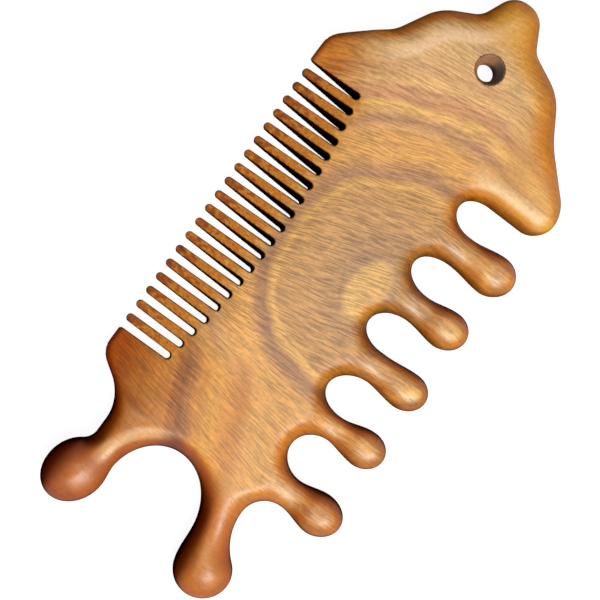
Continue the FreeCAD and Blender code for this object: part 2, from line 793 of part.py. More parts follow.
def build_prong(comb, number):
    """Build a massage prong: flared root, round neck, and an egg-shaped ball at the end."""
    neck_y, neck, ball_y, ball, tip_y = (
        comb.prong(number, size) for size in ("neck_y", "neck", "ball_y", "ball", "tip_y")
    )
    x = comb.prong_x(number)
    ball_x = x + comb.prong(number, "ball_shift")
    along_x = Vector(1, 0, 0)
    root_y = comb.prong_root(number)
    band = comb.middle_z - comb.rim_rounding
    sections = []
    for step in range(SECTIONS_PER_ROOT):
        y = mix(root_y, neck_y, step / SECTIONS_PER_ROOT)
        rounding = root_rounding(comb, number, y)
        half_height = rounding + band * (1 - step / SECTIONS_PER_ROOT)
        sides = (
            lambda inset, y=y: comb.gullet_sides(number, y, inset)[0],
            lambda inset, y=y: comb.gullet_sides(number, y, inset)[1],
        )
        middle = Vector(0, y, comb.middle_z)
        sections.append(section_points(sides, middle, half_height, (rounding, rounding), along_x))
    for step in range(SECTIONS_PER_HOLLOW):
        part = step / SECTIONS_PER_HOLLOW
        radius = mix(neck, ball, ease(part)) / 2
        middle = Vector(mix(x, ball_x, ease(part)), mix(neck_y, ball_y, part), comb.middle_z)
        sections.append(round_section(middle, radius, along_x))
    for step in range(SECTIONS_PER_BALL):
        angle = math.pi / 2 * step / (SECTIONS_PER_BALL - BALL_END_GAP)
        middle = Vector(ball_x, mix(ball_y, tip_y, math.sin(angle)), comb.middle_z)
        sections.append(round_section(middle, ball / 2 * math.cos(angle), along_x))
    limb(comb, f"massage_prong_{number}", sections, Vector(ball_x, tip_y, comb.middle_z))


def round_section(middle, radius, across):
    """Points round a circular section of a limb."""
    sides = (lambda inset: inset - radius, lambda inset: radius - inset)
    return section_points(sides, middle, radius, (radius, radius), across)


def root_rounding(comb, number, y):
    """Rounding of a flared root at a height: the rim's, or all that its width has room for."""
    less = bisect(lambda drop: comb.land(number, y, -drop) + comb.prong_root_land, -comb.middle_z, 0)
    return min(comb.rim_rounding, -less)


def build_tail_lobe(comb, side):
    """Build a tail lobe: a neck that grows out of the bay and ends in a broad ball."""
    lobe = TailLobe(comb, side)
    stations = []
    for first, last in ((lobe.root_x, lobe.neck_x), (lobe.neck_x, lobe.ball_x)):
        stations += [mix(first, last, step / SECTIONS_PER_HOLLOW) for step in range(SECTIONS_PER_HOLLOW)]
    for step in range(SECTIONS_PER_BALL):
        angle = math.pi / 2 * step / (SECTIONS_PER_BALL - BALL_END_GAP)
        stations.append(lobe.ball_x - lobe.reach * math.sin(angle))
    sections = []
    for x in stations:
        half_width = abs(lobe.outer(x) - lobe.inner(x)) / 2
        wide = mix(comb.rim_rounding, half_width, lobe.grown(x))
        tall = mix(comb.rim_rounding, lobe.half_height(x), lobe.grown(x))
        sides = [
            lambda inset, x=x: lobe.inner(x) + lobe.outward * inset,
            lambda inset, x=x: lobe.outer(x) - lobe.outward * inset,
        ]
        if x == lobe.root_x:
            sides[0] = lambda inset, x=x: lobe.inner(x, inset)
        sides = sides[:: lobe.outward]
        middle = Vector(x, 0, comb.middle_z)
        sections.append(section_points(sides, middle, lobe.half_height(x), (wide, tall), Vector(0, 1, 0)))
    tip_y = lobe.ball_side(lobe.ball_x - lobe.reach, lobe.outward)
    limb(comb, f"tail_lobe_{side}", sections, Vector(lobe.ball_x - lobe.reach, tip_y, comb.middle_z))


def check_and_export(comb):
    """Stop on any failed object or bad solid, then write each member to its own file."""
    comb.doc.recompute()
    for feature in comb.doc.Objects:
        if "Invalid" in feature.State or "Error" in feature.State:
            raise RuntimeError(f"{feature.Label} failed")
    os.makedirs("parts", exist_ok=True)
    for member in comb.members:
        shape = member.Shape
        if shape.isNull() or not shape.isValid() or len(shape.Solids) != 1:
            raise RuntimeError(f"{member.Label} isn't one valid solid")
        shape.exportStep(f"parts/{member.Label}.step")
        print(f"{member.Label}: {shape.Volume:.1f} mm3")


def main():
    """Build the comb and write its members."""
    comb = Comb()
    cut_members(comb, build_blank(comb))
    for number in range(int(comb.tooth_count)):
        build_tooth(comb, number)
    for number in range(1, PRONG_COUNT + 1):
        build_prong(comb, number)
    for side in ("upper", "lower"):
        build_tail_lobe(comb, side)
    check_and_export(comb)


main()
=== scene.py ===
"""Visual model of a fish-shaped wide tooth comb, carved from one board of oiled heartwood.

The comb lies flat on z = 0, with +X to the nose and +Y to the tips of the teeth. Shapes are
worked out in millimetres and turned into metres when the meshes are made.

The whole comb is carved as one smooth body, so that the surface and the grain run on from
member to member, and is then sawn at flat planes into the members of the frame: the board,
the head, the jaw, two guards, nineteen teeth, five massage prongs and two tail lobes.
"""
from __future__ import annotations

import json
import logging
import math
from dataclasses import dataclass, field
from enum import Enum
from typing import Callable

import bpy
import numpy as np
from mathutils import Matrix, Vector

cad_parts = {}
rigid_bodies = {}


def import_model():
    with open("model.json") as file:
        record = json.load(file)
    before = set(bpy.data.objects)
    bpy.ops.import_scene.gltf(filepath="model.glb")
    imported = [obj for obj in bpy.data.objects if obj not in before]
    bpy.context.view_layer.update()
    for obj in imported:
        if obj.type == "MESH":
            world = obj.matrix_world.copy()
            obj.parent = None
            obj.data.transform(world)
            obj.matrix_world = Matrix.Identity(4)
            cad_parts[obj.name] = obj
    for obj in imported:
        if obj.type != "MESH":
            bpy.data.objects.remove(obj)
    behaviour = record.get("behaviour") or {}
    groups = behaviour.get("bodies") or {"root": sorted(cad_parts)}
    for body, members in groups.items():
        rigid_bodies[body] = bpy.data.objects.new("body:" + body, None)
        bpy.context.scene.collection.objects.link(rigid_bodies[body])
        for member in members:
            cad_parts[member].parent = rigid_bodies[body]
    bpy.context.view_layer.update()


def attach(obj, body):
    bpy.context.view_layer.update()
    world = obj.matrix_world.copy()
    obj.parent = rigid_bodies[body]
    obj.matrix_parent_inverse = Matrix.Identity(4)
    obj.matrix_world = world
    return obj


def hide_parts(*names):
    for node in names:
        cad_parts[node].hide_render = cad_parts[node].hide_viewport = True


LOG = logging.getLogger("comb")
METRES = 0.001

# Numbers of steps and small lengths, in millimetres.
HALVINGS = 50
POINT_SPACING = 0.45
FAR = 99.0
LEAST_STEPS = 3
SWEEP_POINTS = 19
NEIGHBOURS = 3
SNAP = 1e-5
ON_PLANE = 1e-6
TINY = 1e-9

# The curve from the numbers of a paint chart to amounts of light.
CHART_FULL = 255.0
CHART_TOE = 0.04045
CHART_TOE_SLOPE = 12.92
CHART_SHIFT = 0.055
CHART_POWER = 2.4

Point = tuple[float, float]
Span = tuple[float, float]
Rise = tuple[float, ...]
Chart = tuple[int, int, int]
Tone = tuple[float, float, float, float]
Stops = tuple[tuple[float, Chart], ...]
Socket = bpy.types.NodeSocket
Value = Socket | float | Tone


# ---------------------------------------------------------------- shaping helpers


def half_chord(radius: float, offset: float) -> float:
    """Return half the chord of a circle at an offset from its centre, or nothing outside."""
    return math.sqrt(max(0.0, radius**2 - offset**2))


def bisect(rising: Callable[[float], float], low: float, high: float) -> float:
    """Find where a rising function crosses nought.

    Args:
        rising: the function.
        low: a place where it is below nought.
        high: a place where it is above nought.

    Returns:
        The place of the crossing.
    """
    for _ in range(HALVINGS):
        middle = (low + high) / 2
        low, high = (middle, high) if rising(middle) < 0 else (low, middle)
    return high


def smooth_max(first: np.ndarray, second: np.ndarray, blend: float) -> np.ndarray:
    """Return the larger of two heights, with a rounded change from one to the other."""
    overlap = np.maximum(0.0, blend - np.abs(first - second))
    return np.maximum(first, second) + overlap**2 / (4 * blend)


def round_both(first: np.ndarray, second: np.ndarray, radius: float | np.ndarray) -> np.ndarray:
    """Keep what lies inside two shapes, with a true radius where their walls meet."""
    over = np.hypot(np.maximum(first + radius, 0.0), np.maximum(second + radius, 0.0))
    return np.minimum(-radius, np.maximum(first, second)) + over


def ease(value: np.ndarray, start: float, end: float) -> np.ndarray:
    """Rise smoothly from 0 at the start to 1 at the end."""
    part = np.clip((value - start) / (end - start), 0.0, 1.0)
    return part * part * (3.0 - 2.0 * part)


def angles(start: float, end: float, radius: float) -> list[float]:
    """Return even steps from one angle to another, in degrees, that suit a radius."""
    steps = max(LEAST_STEPS, int(abs(math.radians(end - start)) * radius / POINT_SPACING))
    return np.linspace(start, end, steps + 1).tolist()


def arc(centre: Point, radius: float, start: float, end: float) -> list[Point]:
    """Place points along an arc, with both ends, from its first angle to its last, in degrees."""
    turns = [math.radians(angle) for angle in angles(start, end, radius)]
    return [(centre[0] + radius * math.cos(a), centre[1] + radius * math.sin(a)) for a in turns]


def sweep(start: Point, leaving: Point, end: Point, arriving: Point) -> list[Point]:
    """Draw a smooth curve between two places.

    Args:
        start: where it starts.
        leaving: the direction in which it leaves, its length being the pull.
        end: where it ends.
        arriving: the direction in which it arrives.

    Returns:
        The points, with the start and the end among them.
    """
    points = []
    for part in np.linspace(0.0, 1.0, SWEEP_POINTS).tolist():
        square, cube = part**2, part**3
        shares = (2 * cube - 3 * square + 1, cube - 2 * square + part, 3 * square - 2 * cube, cube - square)
        values = [
            sum(share * given[axis] for share, given in zip(shares, (start, leaving, end, arriving)))
            for axis in (0, 1)
        ]
        points.append((values[0], values[1]))
    return points


def round_corner(before: Point, corner: Point, after: Point, radius: float) -> list[Point]:
    """Place points round one corner of an outline.

    Args:
        before: the corner before it.
        corner: the corner itself.
        after: the corner after it.
        radius: radius of the rounding.

    Returns:
        Points along the arc that replaces the corner.
    """
    here = Vector(corner)
    back, ahead = (Vector(before) - here).normalized(), (Vector(after) - here).normalized()
    half_angle = back.angle(ahead) / 2
    reach = radius / math.tan(half_angle)
    centre = here + (back + ahead).normalized() * radius / math.sin(half_angle)
    first, last = here + back * reach - centre, here + ahead * reach - centre
    start = math.degrees(math.atan2(first.y, first.x))
    turned = (math.degrees(math.atan2(last.y, last.x)) - start + 180) % 360 - 180
    return arc((centre.x, centre.y), radius, start, start + turned)


# ---------------------------------------------------------------- the members


@dataclass
class Oval:
    """An ellipse in plan, turned by an angle."""

    middle: Point
    long_half: float
    short_half: float
    turned: float = 0.0

    def place(self, angle: float) -> Point:
        """Find a point on the ellipse.

        Args:
            angle: the angle, in degrees, as on a stretched circle.

        Returns:
            The point.
        """
        along = self.long_half * math.cos(math.radians(angle))
        across = self.short_half * math.sin(math.radians(angle))
        turn = math.radians(self.turned)
        x = self.middle[0] + along * math.cos(turn) - across * math.sin(turn)
        return x, self.middle[1] + along * math.sin(turn) + across * math.cos(turn)

    def run(self, start: float, end: float) -> list[Point]:
        """Place points from one angle to another, in degrees."""
        return [self.place(angle) for angle in angles(start, end, self.long_half)]


@dataclass
class Board:
    """The flat back of the comb, its rounded rim and the round bay in its tail."""

    thickness: float = 12.0
    rim: float = 5.2
    rim_band: float = 1.0
    shoulder: float = -58.4
    shoulder_radius: float = 12.0
    bay: Oval = field(default_factory=lambda: Oval((-76.4, 4.4), 15.5, 13.1, 8.3))

    @property
    def middle(self) -> float:
        """Height of the plane on which every member is centred."""
        return self.thickness / 2


@dataclass
class ToothRow:
    """The row of teeth: slots with round bottoms on an arch, and rounded tips."""

    count: int = 19
    pitch: float = 4.4
    slot_width: float = 1.8
    slot_flare: float = 0.25
    slot_lean: float = 0.035
    saw_entry: float = 10.0
    guard_rounding: float = 1.7
    first_slot: float = -42.4
    arch_radius: float = 200.0
    arch_middle: float = -2.9
    arch_bottom: float = 18.75
    root_land: float = 0.3
    tip_rear: float = 38.1
    tip_front: float = 39.7
    tip_thickness: float = 1.4
    tip_rounding: float = 1.1
    edge_softness: float = 0.32
    wedge_length: float = 21.5
    taper_ends: tuple[float, float] = (-54.0, 56.0)
    taper_fade: float = 14.0
    taper_spare: float = 8.0
    blank_top: float = 44.0
    rear_guard: float = 38.6
    rear_guard_root: float = 28.5
    rear_guard_corner: float = -51.3
    rear_guard_radius: float = 6.2
    rear_guard_end: float = -66.0
    front_guard: float = 40.65
    front_guard_root: float = 26.0
    front_guard_end: float = 52.0

    def slot(self, number: int) -> float:
        """Return the middle of a slot; slot 0 is beside the rear guard."""
        return self.first_slot + number * self.pitch

    def bottom(self, x: np.ndarray) -> np.ndarray:
        """Return the height of the arch on which the slots end."""
        rise = self.arch_radius - np.sqrt(self.arch_radius**2 - (x - self.arch_middle) ** 2)
        return self.arch_bottom + rise

    def root(self, number: int) -> float:
        """Return the root plane of a tooth, just above the slot bottoms beside it."""
        beside = np.array([self.slot(number), self.slot(number + 1)])
        return float(self.bottom(beside).max()) + self.slot_width / 2 + self.root_land

    def tip_line(self, x: np.ndarray) -> np.ndarray:
        """Return the height of the straight line through the tips."""
        slope = (self.tip_front - self.tip_rear) / ((self.count - 1) * self.pitch)
        return self.tip_rear + (x - self.slot(0) - self.pitch / 2) * slope

    def tips(self, x: np.ndarray) -> np.ndarray:
        """Return the line of tips, and the tops of the guards outside the slots."""
        line = np.where(x < self.slot(0), self.rear_guard, self.tip_line(x))
        return np.where(x > self.slot(self.count), self.front_guard, line)

    def half_thickness(self, x: np.ndarray, y: np.ndarray, middle: float) -> np.ndarray:
        """Work out the taper of the toothed edge, which fades out over the tail and the head.

        Args:
            x: places along the comb.
            y: places across it.
            middle: height of the middle plane.

        Returns:
            Half the thickness, which grows past the board's where the taper fades out.
        """
        rear, front = self.taper_ends
        past = ease(-x, -rear, self.taper_fade - rear) + ease(x, front, front + self.taper_fade)
        half_tip = self.tip_thickness / 2
        wedge = half_tip + (self.tip_line(x) - y) * (middle - half_tip) / self.wedge_length
        return wedge + self.taper_spare * past

    def slot_depth(self, x: np.ndarray, y: np.ndarray, z: np.ndarray) -> np.ndarray:
        """Measure how far places lie inside the nearest slot.

        Args:
            x: places along the comb.
            y: places across it.
            z: heights, since the saw leaned a little.

        Returns:
            The depth inside the slot, below nought in the teeth.
        """
        x = x - self.slot_lean * (z - self.saw_entry)
        number = np.clip(np.round((x - self.first_slot) / self.pitch), 0, self.count)
        centre = self.first_slot + number * self.pitch
        above = y - self.bottom(centre) - self.slot_width / 2
        half = self.slot_width / 2 + self.slot_flare * np.clip(above / self.wedge_length, 0.0, 1.0)
        return half - np.hypot(x - centre, np.minimum(above, 0.0))

    def outside(self, x: np.ndarray, y: np.ndarray, z: np.ndarray) -> np.ndarray:
        """Measure how far places lie outside the teeth and guards.

        Args:
            x: places along the comb.
            y: places across it.
            z: heights.

        Returns:
            The distance, below nought inside the teeth and guards.
        """
        guards = (x < self.slot(0)) | (x > self.slot(self.count))
        rounding = np.where(guards, self.guard_rounding, self.tip_rounding)
        return round_both(self.slot_depth(x, y, z), y - self.tips(x), rounding)


@dataclass
class Prong:
    """A massage prong: round neck, hollow sides and an egg-shaped ball at the end."""

    number: int
    x: float
    root_y: float
    neck_y: float
    neck: float
    ball_x: float
    ball_y: float
    ball: float
    tip_y: float
    lean: float = -0.045
    shoulder: float = 1.6
    waist: float = 1.06
    waist_drop: float = 0.8
    reach: float = 10.0
    side_points: int = 22

    def radius(self, y: np.ndarray) -> np.ndarray:
        """Return the radius of the hollow, from the neck to the ball."""
        return (self.neck + (self.ball - self.neck) * ease(y, self.neck_y, self.ball_y)) / 2

    def half_thickness(self, y: np.ndarray) -> np.ndarray:
        """Return half the thickness, which is full sooner than the width."""
        rise = 1.0 - ease(y, self.ball_y + self.shoulder, self.neck_y - self.waist_drop)
        return (self.neck * self.waist + (self.ball - self.neck * self.waist) * rise) / 2

    def axis(self, y: np.ndarray) -> np.ndarray:
        """Return the middle of the prong, which leans a little between neck and ball."""
        return self.x + (self.ball_x - self.x) * ease(y, self.neck_y, self.ball_y)

    def outline(self) -> list[Point]:
        """Draw the prong in plan.

        Returns:
            The points, from the left neck round the ball to the right neck.
        """
        heights = np.linspace(self.neck_y, self.ball_y, self.side_points)
        middle, radius = self.axis(heights), self.radius(heights)
        left = [(float(x), float(y)) for x, y in zip(middle - radius, heights)]
        right = [(float(x), float(y)) for x, y in zip(middle + radius, heights)]
        egg = Oval((self.ball_x, self.ball_y), self.ball / 2, self.ball_y - self.tip_y).run(180, 360)
        egg = [(x + (y - self.ball_y) * self.lean, y) for x, y in egg]
        return left[:-1] + egg + right[-2::-1]


@dataclass
class Gullet:
    """An opening with a half-oval top; its crown may lean a little to one side."""

    x: float
    crown: float
    half_width: float
    height: float
    lean: float = 0.0

    def outline(self) -> list[Point]:
        """Draw the top of the opening in plan.

        Returns:
            The points, from the left side to the right side.
        """
        spring = self.crown - self.height
        top = Oval((self.x, spring), self.half_width, self.height).run(180, 0)
        return [(x + (y - spring) * self.lean, y) for x, y in top]


@dataclass
class Belly:
    """The five prongs and the gullets beside them."""

    # Number, x, root, place and width of the neck, x, y and width of the ball, and tip.
    prongs: list[Prong] = field(
        default_factory=lambda: [
            Prong(1, -52.6, -20.2, -24.5, 8.4, -52.65, -33.3, 11.7, -40.2),
            Prong(2, -32.0, -17.8, -23.4, 7.05, -31.65, -33.0, 10.5, -39.0),
            Prong(3, -12.6, -18.41, -23.2, 8.6, -12.7, -32.9, 10.6, -38.95),
            Prong(4, 6.6, -17.07, -22.6, 8.15, 6.75, -32.0, 10.85, -38.0),
            Prong(5, 25.7, -18.9, -23.2, 9.0, 25.9, -33.4, 11.6, -39.65),
        ]
    )
    tail_crown: Point = (-63.9, -16.8)
    crowns: tuple[float, ...] = (-16.65, -15.0, -13.7, -14.2, -15.1)
    heights: tuple[float, ...] = (7.3, 7.8, 8.3, 8.1, 8.2, 6.9)
    leans: tuple[float, ...] = (0.0, 0.018, -0.066, -0.068, -0.006, -0.006)

    def gullet(self, number: int, jaw_wall: float) -> Gullet:
        """Fit a gullet between its neighbours.

        Args:
            number: its number; gullet 0 is the one behind the first prong.
            jaw_wall: where the jaw begins.

        Returns:
            The gullet.
        """
        lean, height = self.leans[number], self.heights[number]
        if number == 0:
            x, crown = self.tail_crown
            half = self.prongs[0].x - self.prongs[0].neck / 2 - x
            return Gullet(x, crown, half, height, lean)
        left = self.prongs[number - 1].x + self.prongs[number - 1].neck / 2
        right = jaw_wall
        if number < len(self.prongs):
            right = self.prongs[number].x - self.prongs[number].neck / 2
        return Gullet((left + right) / 2, self.crowns[number - 1], (right - left) / 2, height, lean)


@dataclass
class TailLobe:
    """A tail lobe: a neck between the bay and a straight edge, and an egg-shaped ball."""

    name: str
    outward: int
    root_x: float
    edge: float
    waist_x: float
    neck_x: float
    ball: Point
    ball_length: float
    ball_width: float
    lean: float
    leaves: float
    joins: float
    neck_thickness: float = 10.4
    neck_rim: float = 10.0
    root_slope: float = 12.0
    ball_ridge: float = 2.5
    meeting_turns: Span = (0.01, 1.56)
    waist_points: int = 16
    ball_points: int = 64

    def egg(self, turn: float) -> Point:
        """Find a point on the ball's outer side.

        Args:
            turn: the angle on the ball, from the neck's side to the tip.

        Returns:
            The point.
        """
        across = math.cos(turn) * self.ball_length / 2
        out = math.sin(turn) * self.ball_width / 2
        return self.ball[0] + across, self.ball[1] + self.outward * (out - self.lean * across)

    def hollow(self, turn: float) -> tuple[float, float]:
        """Fit a hollow to the ball.

        Args:
            turn: the angle on the ball.

        Returns:
            The radius of the hollow that meets the ball there, and how far it misses the straight edge.
        """
        x, y = self.egg(turn)
        run = -math.sin(turn) * self.ball_length / 2
        climb = math.cos(turn) * self.ball_width / 2 - self.lean * run
        length = math.hypot(run, climb)
        radius = (self.waist_x - x) * length / climb
        return radius, self.outward * (y - self.edge) - radius * run / length - radius

    def outline(self, board: Board) -> list[Point]:
        """Return the lobe in plan, from its straight edge round the ball to the bay.

        Args:
            board: the board that it grows out of.

        Returns:
            The points, from the outer side to the bay's side.
        """
        meeting = bisect(lambda turn: self.hollow(turn)[1], *self.meeting_turns)
        radius, meeting_x = self.hollow(meeting)[0], self.egg(meeting)[0]
        waist = []
        for x in np.linspace(self.waist_x, meeting_x, self.waist_points).tolist():
            sag = radius - half_chord(radius, self.waist_x - x)
            waist.append((x, self.edge + self.outward * sag))
        turns = np.linspace(meeting, math.radians(self.leaves), self.ball_points).tolist()
        ball = [self.egg(turn) for turn in turns]
        join = board.bay.place(self.joins)
        pull = math.dist(ball[-1], join)
        leaving = self.heading(ball[-2], ball[-1], pull)
        arriving = self.heading(join, board.bay.place(self.joins - self.outward), pull)
        return waist[:-1] + ball[:-1] + sweep(ball[-1], leaving, join, arriving)

    @staticmethod
    def heading(start: Point, end: Point, length: float) -> Point:
        """Return the direction from one place to another, drawn out to a length."""
        scale = length / math.dist(start, end)
        return (end[0] - start[0]) * scale, (end[1] - start[1]) * scale

    def thickness_change(self, x: np.ndarray) -> tuple[np.ndarray, np.ndarray]:
        """Work out how far the neck and the ball have taken over from the board.

        Args:
            x: places along the comb.

        Returns:
            The share of the neck and the share of the ball.
        """
        neck = 1.0 - ease(x, self.neck_x, self.root_x + self.root_slope)
        ball = 1.0 - ease(x, self.ball[0], self.neck_x)
        return neck, ball


@dataclass
class Head:
    """The head and jaw: their corners in plan, and the eye right through the head."""

    jaw_wall: float = 40.05
    jaw_root: float = -18.5
    heel_radius: float = 6.3
    corners: tuple[tuple[float, float, float], ...] = (
        (50.4, -38.8, 10.3),
        (63.5, -25.9, 30.0),
        (74.9, -18.8, 15.0),
        (80.2, -7.5, 5.0),
        (89.65, -2.3, 6.4),
        (89.65, 6.4, 6.4),
        (79.7, 10.6, 6.0),
        (74.1, 20.6, 14.0),
        (62.5, 26.7, 10.0),
        (50.9, 40.65, 6.2),
    )
    eye: Point = (68.05, 0.5)
    eye_bore: float = 5.0
    eye_throat: float = 4.0
    eye_rim: float = 7.8
    eye_rounding: float = 0.5
    throat_blend: float = 0.8
    slope_width: float = 9.0
    slope_start: Span = (45.0, 58.0)

    def eye_clearance(self, x: np.ndarray, y: np.ndarray, height: np.ndarray, middle: float) -> np.ndarray:
        """Measure how far places lie inside the eye.

        Args:
            x: places along the comb.
            y: places across it.
            height: heights from the middle plane.
            middle: height of the middle plane.

        Returns:
            The depth inside the hole, below nought in the wood.
        """
        reach = np.hypot(x - self.eye[0], y - self.eye[1])
        flare = (self.eye_rim - self.eye_bore) / 2 / (middle - self.eye_throat / 2)
        past_throat = smooth_max(height - self.eye_throat / 2, np.zeros_like(height), self.throat_blend)
        opening = self.eye_bore / 2 + flare * past_throat
        return (opening - reach) / math.hypot(1.0, flare)


# ---------------------------------------------------------------- the carved body


@dataclass
class PlanMap:
    """Smooth maps of the comb in plan, kept on an even grid and read between its points."""

    low: Point
    step: float
    layers: np.ndarray

    def read(self, x: np.ndarray, y: np.ndarray) -> np.ndarray:
        """Read every layer at the given places with a smooth cubic fit.

        Args:
            x: places along the comb.
            y: places across it.

        Returns:
            One row for each layer.
        """
        across, up = (x - self.low[0]) / self.step, (y - self.low[1]) / self.step
        column = np.clip(across.astype(np.int64), 1, self.layers.shape[1] - NEIGHBOURS)
        row = np.clip(up.astype(np.int64), 1, self.layers.shape[2] - NEIGHBOURS)
        column_shares, row_shares = self.shares(across - column), self.shares(up - row)
        total = np.zeros((self.layers.shape[0], x.size))
        for i, column_share in enumerate(column_shares):
            for j, row_share in enumerate(row_shares):
                total += self.layers[:, column + i - 1, row + j - 1] * (column_share * row_share)
        return total

    @staticmethod
    def shares(part: np.ndarray) -> list[np.ndarray]:
        """Weigh the neighbours of places for a cubic fit.

        Args:
            part: how far places lie between their two nearest neighbours.

        Returns:
            The weights of the four neighbours.
        """
        square, cube = part**2, part**3
        return [
            (-part + 2 * square - cube) / 2,
            (2 - 5 * square + 3 * cube) / 2,
            (part + 4 * square - 3 * cube) / 2,
            (cube - square) / 2,
        ]


class Mark(Enum):
    """Marks on the mesh: the slot walls that take painted shade, the drilled eye, and how near the rim a
    place lies.
    """

    SLOT_SHADE = "slot_wall_shade"
    DRILLED = "drilled_wall"
    RIM = "near_the_rim"


@dataclass
class CarvedComb:
    """The whole comb as one smooth carved body."""

    board: Board = field(default_factory=Board)
    teeth: ToothRow = field(default_factory=ToothRow)
    belly: Belly = field(default_factory=Belly)
    head: Head = field(default_factory=Head)
    lobes: tuple[TailLobe, TailLobe] = field(
        default_factory=lambda: (
            TailLobe(
                name="tail_lobe_upper",
                outward=1,
                root_x=-69.66,
                edge=26.5,
                waist_x=-69.0,
                neck_x=-72.8,
                ball=(-80.4, 25.0),
                ball_length=18.5,
                ball_width=15.9,
                lean=0.1,
                leaves=275,
                joins=70,
            ),
            TailLobe(
                name="tail_lobe_lower",
                outward=-1,
                root_x=-68.58,
                edge=-16.8,
                waist_x=-63.9,
                neck_x=-73.2,
                ball=(-82.0, -17.4),
                ball_length=15.3,
                ball_width=15.7,
                lean=-0.03,
                leaves=250,
                joins=-85,
            ),
        )
    )
    cell: float = 0.4
    plan_step: float = 0.4
    margin: float = 1.2
    taper_softness: float = 2.4
    rim_softness: float = 0.16
    taper_slant: float = 0.97
    ridge_softness: float = 1.3
    ridge_start: Span = (0.6, 4.0)
    root_slope: float = 4.5
    rim_reach: float = 10.0
    # Where painted shade lies on the slot walls and over the edges just beside them.
    slot_shade_band: Span = (-0.46, -0.14)
    slot_shade_inset: float = 0.2
    drilled_band: float = 0.35
    settling: int = 2
    evening: int = 3
    nudge: float = 0.02
    least_steepness: float = 0.05

    def outline(self) -> np.ndarray:
        """Draw the whole comb in plan, anticlockwise, with the row of teeth left as one block.

        Returns:
            The points, one row each.
        """
        board, teeth, head = self.board, self.teeth, self.head
        upper, lower = self.lobes
        points: list[Point] = [(teeth.slot(0), teeth.rear_guard)]
        corners = [
            (teeth.rear_guard_corner, teeth.rear_guard, teeth.rear_guard_radius),
            (board.shoulder, upper.edge, board.shoulder_radius),
        ]
        points += self.corners(points[0], corners, (upper.waist_x, upper.edge))
        points += upper.outline(board)
        points += board.bay.run(upper.joins, lower.joins)
        points += lower.outline(board)[::-1]
        behind = self.belly.gullet(0, head.jaw_wall)
        points += [point for point in behind.outline() if point[0] > behind.x]
        for prong in self.belly.prongs:
            points += prong.outline()
            points += self.belly.gullet(prong.number, head.jaw_wall).outline()
        corners = [(head.jaw_wall, head.corners[0][1], head.heel_radius), *head.corners]
        points += self.corners(points[-1], corners, (teeth.slot(teeth.count), teeth.front_guard))
        points += [(teeth.slot(teeth.count), teeth.blank_top), (teeth.slot(0), teeth.blank_top)]
        outline = np.array(points)
        fresh = np.linalg.norm(outline - np.roll(outline, 1, axis=0), axis=1) > SNAP
        return outline[fresh]

    @staticmethod
    def corners(start: Point, corners: list[tuple[float, float, float]], end: Point) -> list[Point]:
        """Draw straight runs with round corners.

        Args:
            start: where the first run starts.
            corners: x, y and radius of each corner.
            end: where the last run ends.

        Returns:
            The points after the start, up to the end.
        """
        places = [start] + [(x, y) for x, y, _ in corners] + [end]
        points: list[Point] = []
        for index, (_, _, radius) in enumerate(corners, start=1):
            points += round_corner(places[index - 1], places[index], places[index + 1], radius)
        return points + [end]

    def survey(self) -> PlanMap:
        """Map the depth inside the outline, the half thickness and the width of the rim.

        Returns:
            A map with three layers, in that order.
        """
        outline = self.outline()
        low = outline.min(axis=0) - self.margin
        high = outline.max(axis=0) + self.margin
        high[1] = self.teeth.front_guard + self.margin
        counts = np.ceil((high - low) / self.plan_step).astype(int) + NEIGHBOURS
        xs = low[0] + np.arange(counts[0]) * self.plan_step
        ys = low[1] + np.arange(counts[1]) * self.plan_step
        x, y = np.meshgrid(xs, ys, indexing="ij")
        depth = self.depth(outline, x, y)
        softened = self.blur(depth, self.ridge_softness / self.plan_step)
        depth = depth + (softened - depth) * ease(depth, *self.ridge_start)
        half, rim = self.section(x, y)
        return PlanMap((float(low[0]), float(low[1])), self.plan_step, np.stack([depth, half, rim]))

    @staticmethod
    def depth(outline: np.ndarray, x: np.ndarray, y: np.ndarray) -> np.ndarray:
        """Measure how deep places lie inside a closed outline.

        Args:
            outline: the points of the outline.
            x: places along the comb.
            y: places across it.

        Returns:
            The depth, below nought outside.
        """
        nearest = np.full(x.shape, np.inf)
        inside = np.zeros(x.shape, dtype=bool)
        for start, end in zip(outline, np.roll(outline, -1, axis=0)):
            run = end - start
            part = np.clip(((x - start[0]) * run[0] + (y - start[1]) * run[1]) / (run @ run), 0.0, 1.0)
            away = (x - start[0] - part * run[0]) ** 2 + (y - start[1] - part * run[1]) ** 2
            np.minimum(nearest, away, out=nearest)
            if start[1] != end[1]:
                crosses = (y >= min(start[1], end[1])) & (y < max(start[1], end[1]))
                inside ^= crosses & (x < start[0] + (y - start[1]) * run[0] / run[1])
        return np.where(inside, 1.0, -1.0) * np.sqrt(nearest)

    @staticmethod
    def blur(layer: np.ndarray, width: float) -> np.ndarray:
        """Soften a map by a bell-shaped average.

        Args:
            layer: the map.
            width: width of the bell in grid steps.

        Returns:
            The softened map.
        """
        reach = int(3 * width) + 1
        bell = np.exp(-0.5 * (np.arange(-reach, reach + 1) / width) ** 2)
        bell /= bell.sum()
        for axis in (0, 1):
            padded = np.pad(layer, [(reach, reach) if a == axis else (0, 0) for a in (0, 1)], mode="edge")
            layer = sum(
                share * np.take(padded, np.arange(offset, offset + layer.shape[axis]), axis=axis)
                for offset, share in enumerate(bell)
            )
        return layer

